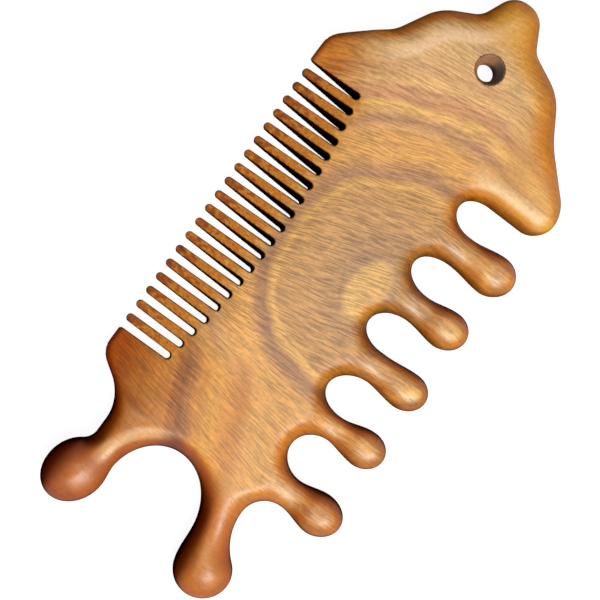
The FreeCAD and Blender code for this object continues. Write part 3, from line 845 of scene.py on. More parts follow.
    def section(self, x: np.ndarray, y: np.ndarray) -> tuple[np.ndarray, np.ndarray]:
        """Work out the half thickness and the width of the rim.

        Args:
            x: places along the comb.
            y: places across it.

        Returns:
            The half thickness and the width of the rim.
        """
        board, head = self.board, self.head
        half = np.full(x.shape, board.middle)
        rim = board.rim + (head.slope_width - board.rim) * ease(x, *head.slope_start)
        for prong in self.belly.prongs:
            near = np.abs(x - prong.x) < prong.reach
            slope = ease(y, prong.neck_y - prong.waist_drop, prong.root_y + self.root_slope)
            round_part = np.where(near, 1.0 - slope, 0.0)
            half = half + (prong.half_thickness(y) - half) * round_part
            rim = rim + (prong.radius(y) - rim) * round_part
        for lobe in self.lobes:
            side = (y - board.bay.middle[1]) * lobe.outward > 0
            neck, ball = lobe.thickness_change(x)
            neck, ball = np.where(side, neck, 0.0), np.where(side, ball, 0.0)
            half = half + (lobe.neck_thickness / 2 - half) * neck
            half = half + (board.middle - half) * ball
            rim = rim + (lobe.neck_rim - rim) * neck
            rim = rim + (lobe.ball_width / 2 + lobe.ball_ridge - rim) * ball
        return half, rim

    def solid(self, x: np.ndarray, y: np.ndarray, z: np.ndarray, layers: np.ndarray) -> np.ndarray:
        """Return a field that is below nought inside the comb and above it outside.

        Args:
            x: places along the comb.
            y: places across it.
            z: heights.
            layers: the plan map read at those places.

        Returns:
            About the distance to the surface, in millimetres.
        """
        board, teeth = self.board, self.teeth
        depth, half, rim = layers
        height = np.abs(z - board.middle)
        tall = half - board.rim_band
        inset = 1.0 - depth / rim
        inset = (inset + np.sqrt(inset**2 + self.rim_softness**2)) / 2
        lift = np.maximum((height - board.rim_band) / tall, 0.0)
        body = (np.hypot(inset, lift) - 1.0) * np.minimum(rim, tall)
        taper = (height - teeth.half_thickness(x, y, board.middle)) * self.taper_slant
        body = smooth_max(body, taper, self.taper_softness)
        body = round_both(body, teeth.outside(x, y, z), teeth.edge_softness)
        eye = self.head.eye_clearance(x, y, height, board.middle)
        return round_both(body, eye, self.head.eye_rounding)

    def marks(self, points: np.ndarray, plan: PlanMap) -> dict[Mark, np.ndarray]:
        """Mark where each place on the surface lies: on a slot's wall, which takes painted shade, in the
        drilled eye, near the rim.

        Args:
            points: the places.
            plan: the plan map.

        Returns:
            From 0 to 1: on a slot's wall or the edge beside it, painted in shade; in the drilled eye; near
                the rim.
        """
        x, y, z = points.T
        height = np.abs(z - self.board.middle)
        # Painted shade: the slot walls, and a thin band over the rounded edges beside them, are marked to be
        # painted near black.
        face = self.teeth.half_thickness(x, y, self.board.middle)
        face = np.minimum(face, self.board.middle)
        inside = ease(face - height, 0.0, self.slot_shade_inset)
        sawn = ease(self.teeth.slot_depth(x, y, z), *self.slot_shade_band) * inside
        reach = np.hypot(x - self.head.eye[0], y - self.head.eye[1])
        rim_radius = self.head.eye_rim / 2
        drilled = ease(-reach, -rim_radius - self.drilled_band, -rim_radius)
        rim = np.clip(1.0 - plan.read(x, y)[0] / self.rim_reach, 0.0, 1.0)
        return {Mark.SLOT_SHADE: sawn, Mark.DRILLED: drilled, Mark.RIM: rim}

    def carve(self, plan: PlanMap) -> tuple[np.ndarray, np.ndarray, np.ndarray]:
        """Carve the whole comb as one closed mesh of even four-sided faces.

        Args:
            plan: the plan map.

        Returns:
            The points, their outward directions and the faces.
        """
        low = np.array([*plan.low, -self.margin])
        far = plan.low[0] + (plan.layers.shape[1] - NEIGHBOURS) * plan.step
        high = np.array([far, self.teeth.front_guard + self.margin, self.board.thickness + self.margin])
        counts = np.ceil((high - low) / self.cell).astype(int) + 1
        axes = [low[axis] + np.arange(counts[axis]) * self.cell for axis in range(3)]
        x, y = np.meshgrid(axes[0], axes[1], indexing="ij")
        layers = plan.read(x.ravel(), y.ravel()).reshape(3, *x.shape)
        values = np.stack([self.solid(x, y, np.full(x.shape, z), layers) for z in axes[2]], axis=-1)
        points, faces = SurfaceNet(values).mesh()
        points = points * self.cell + low
        for _ in range(self.settling):
            points = self.settle(points, plan)[0]
        for _ in range(self.evening):
            points = self.settle(SurfaceNet.even_out(points, faces), plan)[0]
        points, directions = self.settle(points, plan)
        return points, directions, faces

    def value(self, points: np.ndarray, plan: PlanMap) -> np.ndarray:
        """Read the field of the carved body at points."""
        x, y, z = points.T
        return self.solid(x, y, z, plan.read(x, y))

    def settle(self, points: np.ndarray, plan: PlanMap) -> tuple[np.ndarray, np.ndarray]:
        """Move points onto the true surface.

        Args:
            points: the points, near the surface.
            plan: the plan map.

        Returns:
            The points and their outward directions.
        """
        value = self.value(points, plan)
        slopes = np.empty_like(points)
        for axis in range(3):
            step = np.zeros(3)
            step[axis] = self.nudge
            slopes[:, axis] = self.value(points + step, plan) - self.value(points - step, plan)
        slopes /= 2 * self.nudge
        steepness = np.maximum((slopes**2).sum(axis=1), self.least_steepness)
        shift = np.clip(value / steepness, -self.cell / 2, self.cell / 2)
        lengths = np.maximum(np.linalg.norm(slopes, axis=1, keepdims=True), TINY)
        return points - slopes * shift[:, None], slopes / lengths


@dataclass
class SurfaceNet:
    """A net of four-sided faces over the surface where a field on a grid crosses nought."""

    values: np.ndarray

    def mesh(self) -> tuple[np.ndarray, np.ndarray]:
        """Lay the net.

        Returns:
            The points in grid steps, and the faces as four point numbers each.
        """
        inside = self.values < 0
        corners = [(i, j, k) for i in (0, 1) for j in (0, 1) for k in (0, 1)]
        shape = np.array(self.values.shape) - 1
        count = np.zeros(shape, dtype=np.int8)
        for i, j, k in corners:
            count += inside[i : i + shape[0], j : j + shape[1], k : k + shape[2]]
        cells = np.argwhere((count > 0) & (count < len(corners)))
        numbers = np.full(shape, -1, dtype=np.int64)
        numbers[tuple(cells.T)] = np.arange(len(cells))
        at_corner = [self.values[tuple((cells + corner).T)] for corner in corners]
        total, crossings = np.zeros((len(cells), 3)), np.zeros(len(cells))
        for first, start in enumerate(corners):
            for second, end in enumerate(corners):
                if sum(abs(a - b) for a, b in zip(start, end)) != 1 or second < first:
                    continue
                low, high = at_corner[first], at_corner[second]
                crosses = (low < 0) != (high < 0)
                part = np.where(crosses, low / np.where(crosses, low - high, 1.0), 0.0)[:, None]
                place = np.array(start) + part * (np.array(end) - np.array(start))
                total += np.where(crosses[:, None], place, 0.0)
                crossings += crosses
        return cells + total / crossings[:, None], self.faces(inside, numbers)

    @staticmethod
    def faces(inside: np.ndarray, numbers: np.ndarray) -> np.ndarray:
        """Lay a face across every grid edge that passes through the surface.

        Args:
            inside: which grid points lie inside the body.
            numbers: the number of the point in each cell.

        Returns:
            The faces as four point numbers each.
        """
        laid = []
        for axis in range(3):
            others = [a for a in range(3) if a != axis]
            before = np.take(inside, range(inside.shape[axis] - 1), axis=axis)
            after = np.take(inside, range(1, inside.shape[axis]), axis=axis)
            edges = np.argwhere(before != after)
            limits = np.array(numbers.shape)
            keep = (edges[:, others] > 0).all(axis=1) & (edges[:, others] < limits[others]).all(axis=1)
            edges = edges[keep]
            ring = []
            for back in ((1, 1), (0, 1), (0, 0), (1, 0)):
                cell = edges.copy()
                cell[:, others[0]] -= back[0]
                cell[:, others[1]] -= back[1]
                ring.append(numbers[tuple(cell.T)])
            face = np.stack(ring, axis=1)
            outward = before[tuple(edges.T)]
            if axis == 1:
                outward = ~outward
            laid.append(np.where(outward[:, None], face, face[:, ::-1]))
        return np.concatenate(laid)

    @staticmethod
    def even_out(points: np.ndarray, faces: np.ndarray) -> np.ndarray:
        """Move each point half way to the middle of its neighbours.

        Args:
            points: the points.
            faces: the faces between them.

        Returns:
            The moved points.
        """
        first, second = faces.ravel(), np.roll(faces, -1, axis=1).ravel()
        near, far = np.concatenate([first, second]), np.concatenate([second, first])
        count = np.bincount(near, minlength=len(points))
        total = np.stack([np.bincount(near, points[far, a], minlength=len(points)) for a in range(3)], axis=1)
        return (points + total / count[:, None]) / 2


# ---------------------------------------------------------------- sawing into members


@dataclass(frozen=True)
class Member:
    """A member beyond a flat saw cut on x = place or y = place, within a span of the other axis."""

    node: str
    axis: int
    place: float
    side: int
    span: Span

    def spans(self, places: np.ndarray) -> np.ndarray:
        """Tell which places on the other axis lie within the cut."""
        return (places > self.span[0]) & (places < self.span[1])

    def holds(self, middles: np.ndarray) -> np.ndarray:
        """Tell which places lie in the member."""
        beyond = (middles[:, self.axis] - self.place) * self.side > 0
        return beyond & self.spans(middles[:, 1 - self.axis])


class Sawyer:
    """Saws the carved body into members and closes every sawn face."""

    def __init__(self, points: np.ndarray, directions: np.ndarray, faces: np.ndarray) -> None:
        """Take over the carved body.

        Args:
            points: its points.
            directions: the outward direction at each point.
            faces: its four-sided faces.
        """
        self.points = [points]
        self.directions = [directions]
        self.count = len(points)
        self.quads = faces
        self.pieces: list[list[int]] = []
        self.planes: set[tuple[int, float]] = set()

    def table(self) -> tuple[np.ndarray, np.ndarray]:
        """Gather the points of the carved body and of the cuts.

        Returns:
            All points and directions so far.
        """
        self.points = [np.concatenate(self.points)]
        self.directions = [np.concatenate(self.directions)]
        return self.points[0], self.directions[0]

    def saw(self, cut: Member) -> None:
        """Split every face that crosses a member's cut.

        Args:
            cut: the member that is sawn off.
        """
        points, directions = self.table()
        side = points[:, cut.axis] - cut.place
        side[np.abs(side) < SNAP] = 0.0
        other = points[:, 1 - cut.axis]
        sides = side[self.quads]
        crosses = (sides.min(axis=1) < 0) & (sides.max(axis=1) > 0)
        crosses &= cut.spans(other[self.quads].mean(axis=1))
        candidates = self.quads[crosses].tolist()
        self.quads = self.quads[~crosses]
        kept = []
        for piece in self.pieces:
            split = side[piece].min() < 0 < side[piece].max() and cut.spans(other[piece].mean())
            (candidates if split else kept).append(piece)
        made: dict[tuple[int, int], int] = {}
        new_points, new_directions = [], []
        for face in candidates:
            halves: tuple[list[int], list[int]] = ([], [])
            for here, after in zip(face, face[1:] + face[:1]):
                if side[here] <= 0:
                    halves[0].append(here)
                if side[here] >= 0:
                    halves[1].append(here)
                if side[here] * side[after] < 0:
                    key = (min(here, after), max(here, after))
                    if key not in made:
                        part = side[here] / (side[here] - side[after])
                        place = points[here] + (points[after] - points[here]) * part
                        place[cut.axis] = cut.place
                        turned = directions[here] + (directions[after] - directions[here]) * part
                        made[key] = self.count + len(new_points)
                        new_points.append(place)
                        new_directions.append(turned / max(np.linalg.norm(turned), TINY))
                    halves[0].append(made[key])
                    halves[1].append(made[key])
            kept += [half for half in halves if len(half) > 2]
        self.pieces = kept
        if new_points:
            self.points.append(np.array(new_points))
            self.directions.append(np.array(new_directions))
            self.count += len(new_points)
        self.planes.add((cut.axis, cut.place))

    def share_out(self, members: list[Member], rest: str) -> dict[str, list[list[int]]]:
        """Share the faces out among the members.

        Args:
            members: every member but one.
            rest: the member that takes what no other holds.

        Returns:
            The faces of each member.
        """
        points, _ = self.table()
        quad_middles = points[self.quads].mean(axis=1)
        piece_middles = np.array([points[piece].mean(axis=0) for piece in self.pieces])
        left_quads = np.ones(len(self.quads), dtype=bool)
        left_pieces = np.ones(len(self.pieces), dtype=bool)
        shared: dict[str, list[list[int]]] = {}
        for member in members:
            quads = member.holds(quad_middles) & left_quads
            pieces = member.holds(piece_middles) & left_pieces
            left_quads &= ~quads
            left_pieces &= ~pieces
            shared[member.node] = self.taken(quads, pieces)
        shared[rest] = self.taken(left_quads, left_pieces)
        return shared

    def taken(self, quads: np.ndarray, pieces: np.ndarray) -> list[list[int]]:
        """Return the whole faces and the sawn ones that are picked out."""
        return self.quads[quads].tolist() + [self.pieces[i] for i in np.flatnonzero(pieces)]

    def close(self, faces: list[list[int]]) -> list[tuple[list[int], np.ndarray]]:
        """Close the sawn openings of one member with flat faces.

        Args:
            faces: the member's faces.

        Returns:
            Each closing face with its outward direction.
        """
        points, _ = self.table()
        runs = {(a, b) for face in faces for a, b in zip(face, face[1:] + face[:1])}
        open_runs = np.array([(b, a) for a, b in runs if (b, a) not in runs])
        closing = []
        for axis, place in sorted(self.planes):
            sawn = (np.abs(points[open_runs, axis] - place) < ON_PLANE).all(axis=1)
            for loop in self.chains(dict(open_runs[sawn].tolist()), points):
                outline = points[loop]
                area = np.cross(outline, np.roll(outline, -1, axis=0)).sum(axis=0)
                direction = np.zeros(3)
                direction[axis] = math.copysign(1.0, area[axis])
                closing.append((loop, direction))
        return closing

    @staticmethod
    def chains(follow: dict[int, int], points: np.ndarray) -> list[list[int]]:
        """Join runs into loops, across the upright corners where two cuts meet.

        Args:
            follow: the point that each point runs on to.
            points: all points.

        Returns:
            The closed loops.
        """
        starts = set(follow) - set(follow.values())
        chains = []
        left = dict(follow)
        for start in sorted(starts):
            chain = [start]
            while chain[-1] in left:
                chain.append(left.pop(chain[-1]))
            chains.append(chain)
        loops = []
        while left:
            first, after = left.popitem()
            loop = [first]
            while after != first:
                loop.append(after)
                after = left.pop(after)
            loops.append(loop)
        while chains:
            chain = chains.pop()
            while True:
                gaps = [np.linalg.norm(points[chain[-1], :2] - points[other[0], :2]) for other in chains]
                own_gap = np.linalg.norm(points[chain[-1], :2] - points[chain[0], :2])
                if not gaps or own_gap <= min(gaps):
                    break
                chain += chains.pop(int(np.argmin(gaps)))
            loops.append(chain)
        return loops


# ---------------------------------------------------------------- the wood


def tone(red: int, green: int, blue: int) -> Tone:
    """Return a colour from its red, green and blue on a paint chart, 0 to 255.

    Args:
        red: its red.
        green: its green.
        blue: its blue.

    Returns:
        The colour as amounts of light.
    """
    chart = np.array([red, green, blue]) / CHART_FULL
    curve = ((chart + CHART_SHIFT) / (1 + CHART_SHIFT)) ** CHART_POWER
    plain = np.where(chart <= CHART_TOE, chart / CHART_TOE_SLOPE, curve)
    return float(plain[0]), float(plain[1]), float(plain[2]), 1.0


def add_node(
    tree: bpy.types.NodeTree, kind: str, given: dict[str | int, Value], **settings: str
) -> bpy.types.Node:
    """Add a shader node to a tree.

    Args:
        tree: the tree.
        kind: the kind of node.
        given: the socket, number or colour for an input, by the input's name or number.
        settings: what the node is set to.

    Returns:
        The new node.
    """
    node = tree.nodes.new(f"ShaderNode{kind}")
    for name, setting in settings.items():
        setattr(node, name, setting)
    for key, value in given.items():
        if isinstance(value, bpy.types.NodeSocket):
            tree.links.new(value, node.inputs[key])
        else:
            node.inputs[key].default_value = value
    return node


class Blend(Enum):
    """How a colour goes over the one below it."""

    COVER = "MIX"
    DEEPEN = "MULTIPLY"


@dataclass(frozen=True)
class Cloud:
    """A cloudy noise: the sizes of its clouds, and how much finer noise lies on them."""

    sizes: tuple[float, float, float]
    detail: float = 2.0


@dataclass(frozen=True)
class Wash:
    """A colour laid over the wood where all its measures are met.

    Two numbers are a rise, from nothing at the first to full at the second. Four numbers are
    a rise and a fall. The shares thin the wash further.
    """

    colour: Chart
    strength: float
    met: dict[str, Rise]
    shares: tuple[str, ...] = ()
    blend: Blend = Blend.DEEPEN


class Palette:
    """Lays out the nodes of one material; a value is a number, a colour or a socket."""

    def __init__(self, name: str) -> None:
        """Start a material.

        Args:
            name: its name.
        """
        self.material = bpy.data.materials.new(name)
        self.material.use_nodes = True
        self.tree = self.material.node_tree
        self.surface = self.tree.nodes["Principled BSDF"]
        self.x, self.y, self.z = (self.math("DIVIDE", part, METRES) for part in self.apart("Object"))
        self.along, self.outward, self.upward = self.apart("Normal")
        self.tilt = self.math("ABSOLUTE", self.upward)

    def apart(self, kind: str) -> list[Socket]:
        """Return the three parts of a place or a direction on the surface."""
        source = add_node(self.tree, "TexCoord", {})
        return list(add_node(self.tree, "SeparateXYZ", {0: source.outputs[kind]}).outputs)

    def put(self, name: str, value: Value) -> None:
        """Link a socket into the surface."""
        self.tree.links.new(value, self.surface.inputs[name])

    def math(self, operation: str, *values: Value) -> Socket:
        """Work out a number."""
        return add_node(self.tree, "Math", dict(enumerate(values)), operation=operation).outputs[0]

    def total(self, *terms: tuple[Value, Value]) -> Socket:
        """Add up products of two values.

        Args:
            terms: the pairs of values.

        Returns:
            Their sum.
        """
        total: Value = 0.0
        for first, second in terms:
            total = self.math("MULTIPLY_ADD", first, second, total)
        return total

    def both(self, first: Value, *others: Value) -> Value:
        """Multiply shares, so that all of them count.

        Args:
            first: the first share.
            others: the others.

        Returns:
            Their product.
        """
        for other in others:
            first = self.math("MULTIPLY", first, other)
        return first

    def rest(self, share: Value, strength: float = 1.0) -> Socket:
        """Return what a share leaves of the whole."""
        return self.total((share, -strength), (1.0, 1.0))

    def swayed(self, noise: Value, contrast: float) -> Socket:
        """Return a factor that sways about 1 with a noise."""
        return self.total((noise, contrast), (1.0, 1.0 - contrast / 2))

    def step(self, value: Value, start: float, end: float) -> Socket:
        """Rise smoothly from 0 to 1 while a value goes from a start to an end.

        Args:
            value: the value.
            start: where the rise starts.
            end: where it ends, on either side.

        Returns:
            A share from 0 to 1.
        """
        given = {"Value": value, "From Min": min(start, end), "From Max": max(start, end)}
        turned = {"To Min": float(start > end), "To Max": float(start < end)}
        return add_node(self.tree, "MapRange", given | turned, interpolation_type="SMOOTHSTEP").outputs[0]

    def within(self, value: Value, *rise: float) -> Socket:
        """Be 1 where a value is past its rise and not yet past its fall.

        Args:
            value: the value.
            rise: start and end of the rise, and of a fall if there is one.

        Returns:
            A share from 0 to 1.
        """
        if len(rise) == 2:
            return self.step(value, *rise)
        return self.both(self.step(value, *rise[:2]), self.step(value, *rise[:1:-1]))

    def distance(self, centre: Point, stretch: Point = (1.0, 1.0)) -> Socket:
        """Measure how far a place lies from an upright line.

        Args:
            centre: the centre.
            stretch: what counts as 1 along and across the comb.

        Returns:
            The distance.
        """
        across = self.math("DIVIDE", self.math("SUBTRACT", self.x, centre[0]), stretch[0])
        up = self.math("DIVIDE", self.math("SUBTRACT", self.y, centre[1]), stretch[1])
        return self.math("SQRT", self.total((across, across), (up, up)))

    def noise(self, place: tuple[Value, Value, Value], cloud: Cloud) -> Socket:
        """Make a cloudy noise.

        Args:
            place: the place, in millimetres.
            cloud: the kind of noise.

        Returns:
            The noise, about 0.5.
        """
        parts = [self.math("DIVIDE", value, size) for value, size in zip(place, cloud.sizes)]
        joined = add_node(self.tree, "CombineXYZ", dict(enumerate(parts)))
        given = {"Vector": joined.outputs[0], "Scale": 1.0, "Detail": cloud.detail}
        return add_node(self.tree, "TexNoise", given).outputs["Fac"]

    def bands(self, value: Value, stops: Stops) -> Socket:
        """Colour by a value.

        Args:
            value: the value.
            stops: the tones, each with its own value.

        Returns:
            The colour.
        """
        first, last = stops[0][0], stops[-1][0]
        scaled = add_node(self.tree, "MapRange", {"Value": value, "From Min": first, "From Max": last})
        node = add_node(self.tree, "ValToRGB", {0: scaled.outputs[0]})
        ramp = node.color_ramp
        ramp.interpolation = "EASE"
        while len(ramp.elements) < len(stops):
            ramp.elements.new(position=0.5)
        for element, (place, colour) in zip(ramp.elements, stops):
            element.position = (place - first) / (last - first)
            element.color = tone(*colour)
        return node.outputs[0]

    def mix(self, share: Value, first: Value, second: Value, blend: Blend = Blend.COVER) -> Socket:
        """Mix two colours."""
        given = {"Factor": share, "A": first, "B": second}
        return add_node(self.tree, "Mix", given, data_type="RGBA", blend_type=blend.value).outputs["Result"]

    def scaled(self, colour: Value, factor: Value) -> Socket:
        """Make a colour lighter or darker by a factor."""
        return add_node(self.tree, "VectorMath", {0: colour, "Scale": factor}, operation="SCALE").outputs[0]

    def washed(self, colour: Value, washes: tuple[Wash, ...], measures: dict[str, Value]) -> Socket:
        """Lay washes over a colour, one after the other.

        Args:
            colour: the colour so far.
            washes: the washes.
            measures: the measures and shares that they name.

        Returns:
            The new colour.
        """
        for wash in washes:
            met = [self.within(measures[name], *rise) for name, rise in wash.met.items()]
            share = self.both(wash.strength, *met, *(measures[name] for name in wash.shares))
            colour = self.mix(share, colour, tone(*wash.colour), wash.blend)
        return colour

    def mark(self, mark: Mark) -> Socket:
        """Read a number that was noted on the mesh."""
        return add_node(self.tree, "Attribute", {}, attribute_name=mark.value).outputs["Fac"]


@dataclass(frozen=True)
class Heartwood:
    """Oiled heartwood: growth lines round a pale heart, streaks along the grain and fine pores."""

    # Places in the timber.
    top: float = 12.0
    heart: Point = (4.3, -11.5)
    patch: Point = (2.2, -8.2)
    patch_size: Point = (8.8, 5.3)
    patch_fray: float = 0.16
    bay: Point = (-74.6, 4.8)
    tail: Rise = (-27.0, -40.0)
    middle: Rise = (-38.0, -14.0, 26.0, 44.0)
    dark_band: Rise = (33.0, 37.0, 41.5, 44.0)

    # The run of the grain.
    lean: float = -0.22
    lean_changes: tuple[tuple[float, Span], ...] = ((0.54, (-50.0, 2.0)), (-0.17, (38.0, 60.0)))
    lean_limit: float = -14.0
    wave: float = 3.0
    bend: float = 5.0
    fray: float = 2.2
    drift: float = 0.3
    centring: float = -3.6
    flare_start: float = -45.0
    flare_slope: float = -0.5
    flare_curve: float = -0.0028

    # Noises.
    clouds: Cloud = Cloud((15.0, 15.0, 15.0))
    streaks: Cloud = Cloud((0.42, 6.0, 2.4))
    broad: Cloud = Cloud((1.5, 11.0, 5.0))
    fine: Cloud = Cloud((1.5, 1.0, 1.0), 1.0)
    mottle: Cloud = Cloud((0.8, 1.1, 1.0), 3.0)
    pores: Cloud = Cloud((0.3, 3.2, 0.8), 1.0)
    flecks: Cloud = Cloud((1.1, 1.9, 2.0), 3.0)

    # Strengths of the noises.
    fine_contrast: float = 0.3
    mottle_contrast: float = 0.5
    broad_contrast: float = 0.6
    pore_rise: Rise = (0.63, 0.72)
    pore_depth: float = 0.16
    streak_rise: Rise = (0.34, 0.66)
    streak_contrast: float = 0.42
    streak_strengths: tuple[float, ...] = (0.35, 0.35, 0.7, 0.45, -0.45)
    dark_streak: Wash = Wash((140, 102, 86), 0.2, {"share": (0.1, -0.5)}, ("strength",), Blend.COVER)
    fleck_height: float = 44.0

    # Limbs, teeth, guards, and the eye, whose two tones are painted shade.
    limbs: Rise = (-60.0, -73.0)
    limb_flats: Rise = (-54.0, -66.0)
    limb_strength: float = 0.8
    veins: tuple[Chart, Chart] = ((178, 97, 28), (206, 128, 42))
    vein_rise: Rise = (0.42, 0.6)
    # Lighter over the prong balls from the third on and over the jaw's foot, by this share.
    ball_lightening: float = 0.15
    lightened_area: tuple[Rise, Rise] = ((-24.0, -8.0), (-21.0, -28.0))
    row: tuple[Rise, Rise] = ((-45.0, -41.0, 40.0, 43.0), (18.0, 25.0))
    guards: tuple[Rise, Rise] = ((60.0, 50.0), (22.0, 36.0))
    guard_tones: tuple[Chart, Chart] = ((240, 200, 136), (230, 180, 114))
    guard_change: Rise = (0.0, 40.0)
    bore_lit_and_shaded_tones: tuple[Chart, Chart] = ((184, 140, 108), (126, 118, 110))
    bore_shade_rise: Rise = (-0.2, 0.6)
    oil: Chart = (250, 244, 229)

    # Where the painted shade on rounded edges is spared; lit faces turn towards the key lamp.
    head: Rise = (50.0, 60.0)
    brow: Rise = (-2.0, 6.0)
    front: Rise = (38.0, 46.0)
    facing_out: Rise = (0.0, 0.3)
    facing_in: Rise = (0.0, -0.3)
    spared: tuple[float, float] = (0.9, 0.35)
    edge: Rise = (0.999, 0.82)
    lit: Rise = (-0.3, -0.9)
    lit_spared: float = 0.5
    front_spared: float = 0.9

    # The oiled surface.
    roughness: float = 0.23
    roughening: tuple[float, ...] = (0.12, 0.08, 0.15)
    shine: float = 0.25
    polish: float = 0.28
    polished_tail: Rise = (-50.0, -60.0)
    polished_prongs: tuple[Rise, Rise] = ((38.0, 34.0), (-16.0, -21.0))
    rounded: Rise = (1.0, 0.98)
    flat: Rise = (0.8, 0.99)
    shining: tuple[Rise, Rise] = ((0.4, 0.85), (0.55, 0.0))
    relief: float = 0.6
    relief_height: float = 0.03
    pore_relief: float = -0.8

    # Washes, in the order in which they are laid: wood tones, painted shade and painted highlights.
    heart_washes: tuple[Wash, ...] = (
        Wash((240, 192, 120), 0.36, {"ring": (27.0, 28.2, 28.8, 30.0), "x": (6.0, -14.0)}, blend=Blend.COVER),
        Wash((156, 112, 88), 0.32, {"ring": (29.8, 31.0, 31.8, 34.5), "x": (6.0, -14.0)}, blend=Blend.COVER),
        Wash((232, 186, 120), 1.0, {"reach": (1.2, 0.76)}, blend=Blend.COVER),
    )
    jaw_tone_and_highlight: tuple[Wash, ...] = (
        Wash((214, 158, 88), 0.55, {"x": (45.0, 48.0), "y": (-10.0, -22.0)}, blend=Blend.COVER),
        # A painted highlight: a pale band along the rounded ridge on the jaw's left side.
        Wash((252, 216, 168), 0.8, {"x": (40.5, 43.0, 44.0, 47.5), "y": (-8.0, -20.0)}, blend=Blend.COVER),
    )
    edge_tones_and_painted_light: tuple[Wash, ...] = (
        Wash((240, 186, 100), 0.24, {"x": (-24.0, -8.0, 34.0, 38.0), "y": (-21.0, -28.0)}, blend=Blend.COVER),
        # A pale band across the upper head, partly the wood's own pale streak and partly a painted highlight
        # on the slope.
        Wash((253, 215, 178), 0.85, {"rim": (0.0, 0.2, 0.34, 0.56)}, ("head", "brow"), Blend.COVER),
        Wash((222, 172, 116), 1.0, {"rim": (0.55, 0.8)}, ("head", "brow")),
        Wash((246, 214, 140), 1.0, {"rim": (0.0, 0.6), "y": (2.0, -6.0)}, ("head",)),
        Wash((232, 168, 66), 0.55, {"x": (70.0, 79.0), "y": (-14.0, -8.0, 5.0, 10.0)}, blend=Blend.COVER),
        Wash(
            (242, 208, 150),
            0.7,
            {"rim": (0.4, 0.74), "x": (44.0, 39.0), "y": (-21.0, -15.0, -9.0, -2.0)},
            ("flat",),
        ),
        # Slopes darker and more orange, partly the oiled end grain's own deeper tone and partly painted shade
        # on the rounded edges.
        Wash((233, 196, 124), 1.0, {}, ("edge",)),
        # Painted shade on near-upright sides, half as strong where they face the key lamp and on the jaw and
        # head.
        Wash((136, 108, 80), 1.0, {"tilt": (0.78, 0.36)}, ("kept", "unlit")),
        # Painted shade on faces turned to +X, away from the key lamp, mostly spared on the jaw and head.
        Wash((212, 180, 134), 1.0, {"along": (0.1, 0.7)}, ("behind",)),
        # Painted shade on faces turned to +Y, spared on the head.
        Wash((196, 166, 130), 1.0, {"outward": (0.25, 0.8)}, ("body",)),
        # Painted shade on faces turned to +Y at the tail.
        Wash((158, 146, 130), 1.0, {"x": (-60.0, -70.0), "outward": (0.08, 0.5)}),
        # Painted shade in the crease above each prong's ball, where the surface turns to +Y, broken up by the
        # clouds.
        Wash((216, 172, 132), 1.0, {"y": (-22.0, -25.0), "outward": (0.0, 0.35), "cloud": (0.3, 0.6)}),
        # A painted highlight along the ridge of the upper tail lobe's neck.
        Wash(
            (246, 200, 146),
            0.6,
            {"bay": (14.8, 16.4, 17.4, 19.6), "x": (-76.0, -70.0, -60.0, -56.0), "y": (8.0, 14.0)},
            blend=Blend.COVER,
        ),
        Wash((214, 178, 132), 1.0, {"rim": (0.5, 0.85), "x": (-50.0, -58.0), "y": (-14.0, -9.0, 6.0, 16.0)}),
        # Painted shade on faces turned to -Y, towards the key lamp: less blue, so yellower.
        Wash((242, 234, 124), 1.0, {"outward": (-0.2, -0.8)}),
    )
    slot_and_eye_shade: tuple[Wash, ...] = (
        # Painted shade: a dark ring round the mouth of the eye, where its lip turns down into the hole.
        Wash((84, 52, 34), 0.75, {"drilled": (0.0, 0.3, 0.75, 1.0)}, blend=Blend.COVER),
        # Painted shade: the slot walls, and the thin band over the edges beside them, near black.
        Wash((30, 14, 6), 1.0, {}, ("sawn",), Blend.COVER),
    )

    # Tones of the growth lines: by the way from the heart, by the way up the tail, and on the teeth.
    rings: Stops = (
        (0.0, (196, 160, 118)),
        (7.0, (190, 152, 113)),
        (10.5, (184, 144, 106)),
        (14.0, (196, 153, 108)),
        (20.0, (208, 159, 106)),
        (26.5, (207, 157, 100)),
        (28.4, (224, 174, 107)),
        (29.6, (216, 164, 102)),
        (31.0, (184, 138, 104)),
        (33.2, (200, 150, 102)),
        (36.5, (234, 176, 104)),
        (41.0, (231, 172, 104)),
        (43.5, (222, 170, 116)),
        (45.3, (196, 148, 112)),
        (47.0, (224, 174, 118)),
        (49.3, (244, 194, 122)),
        (51.0, (218, 160, 118)),
        (53.5, (218, 164, 122)),
        (56.0, (238, 190, 134)),
        (60.0, (226, 178, 130)),
        (64.0, (236, 192, 138)),
        (70.0, (218, 178, 128)),
        (80.0, (220, 166, 92)),
    )
    flare: Stops = (
        (-6.0, (212, 150, 88)),
        (4.0, (226, 170, 106)),
        (10.0, (226, 166, 96)),
        (15.0, (230, 172, 100)),
        (18.5, (228, 166, 96)),
        (22.0, (213, 143, 74)),
        (25.0, (222, 153, 77)),
        (30.0, (226, 163, 78)),
        (33.5, (218, 150, 72)),
        (35.0, (208, 138, 76)),
        (36.5, (182, 122, 68)),
        (39.0, (160, 104, 60)),
        (41.5, (176, 112, 62)),
        (43.5, (206, 136, 70)),
        (48.0, (200, 130, 64)),
        (52.0, (186, 118, 54)),
        (60.0, (180, 106, 44)),
    )
    toothed: Stops = (
        (16.0, (222, 164, 76)),
        (22.0, (212, 140, 56)),
        (26.0, (194, 114, 44)),
        (30.0, (214, 142, 54)),
        (34.0, (186, 106, 38)),
        (38.0, (164, 86, 32)),
        (46.0, (124, 62, 26)),
    )

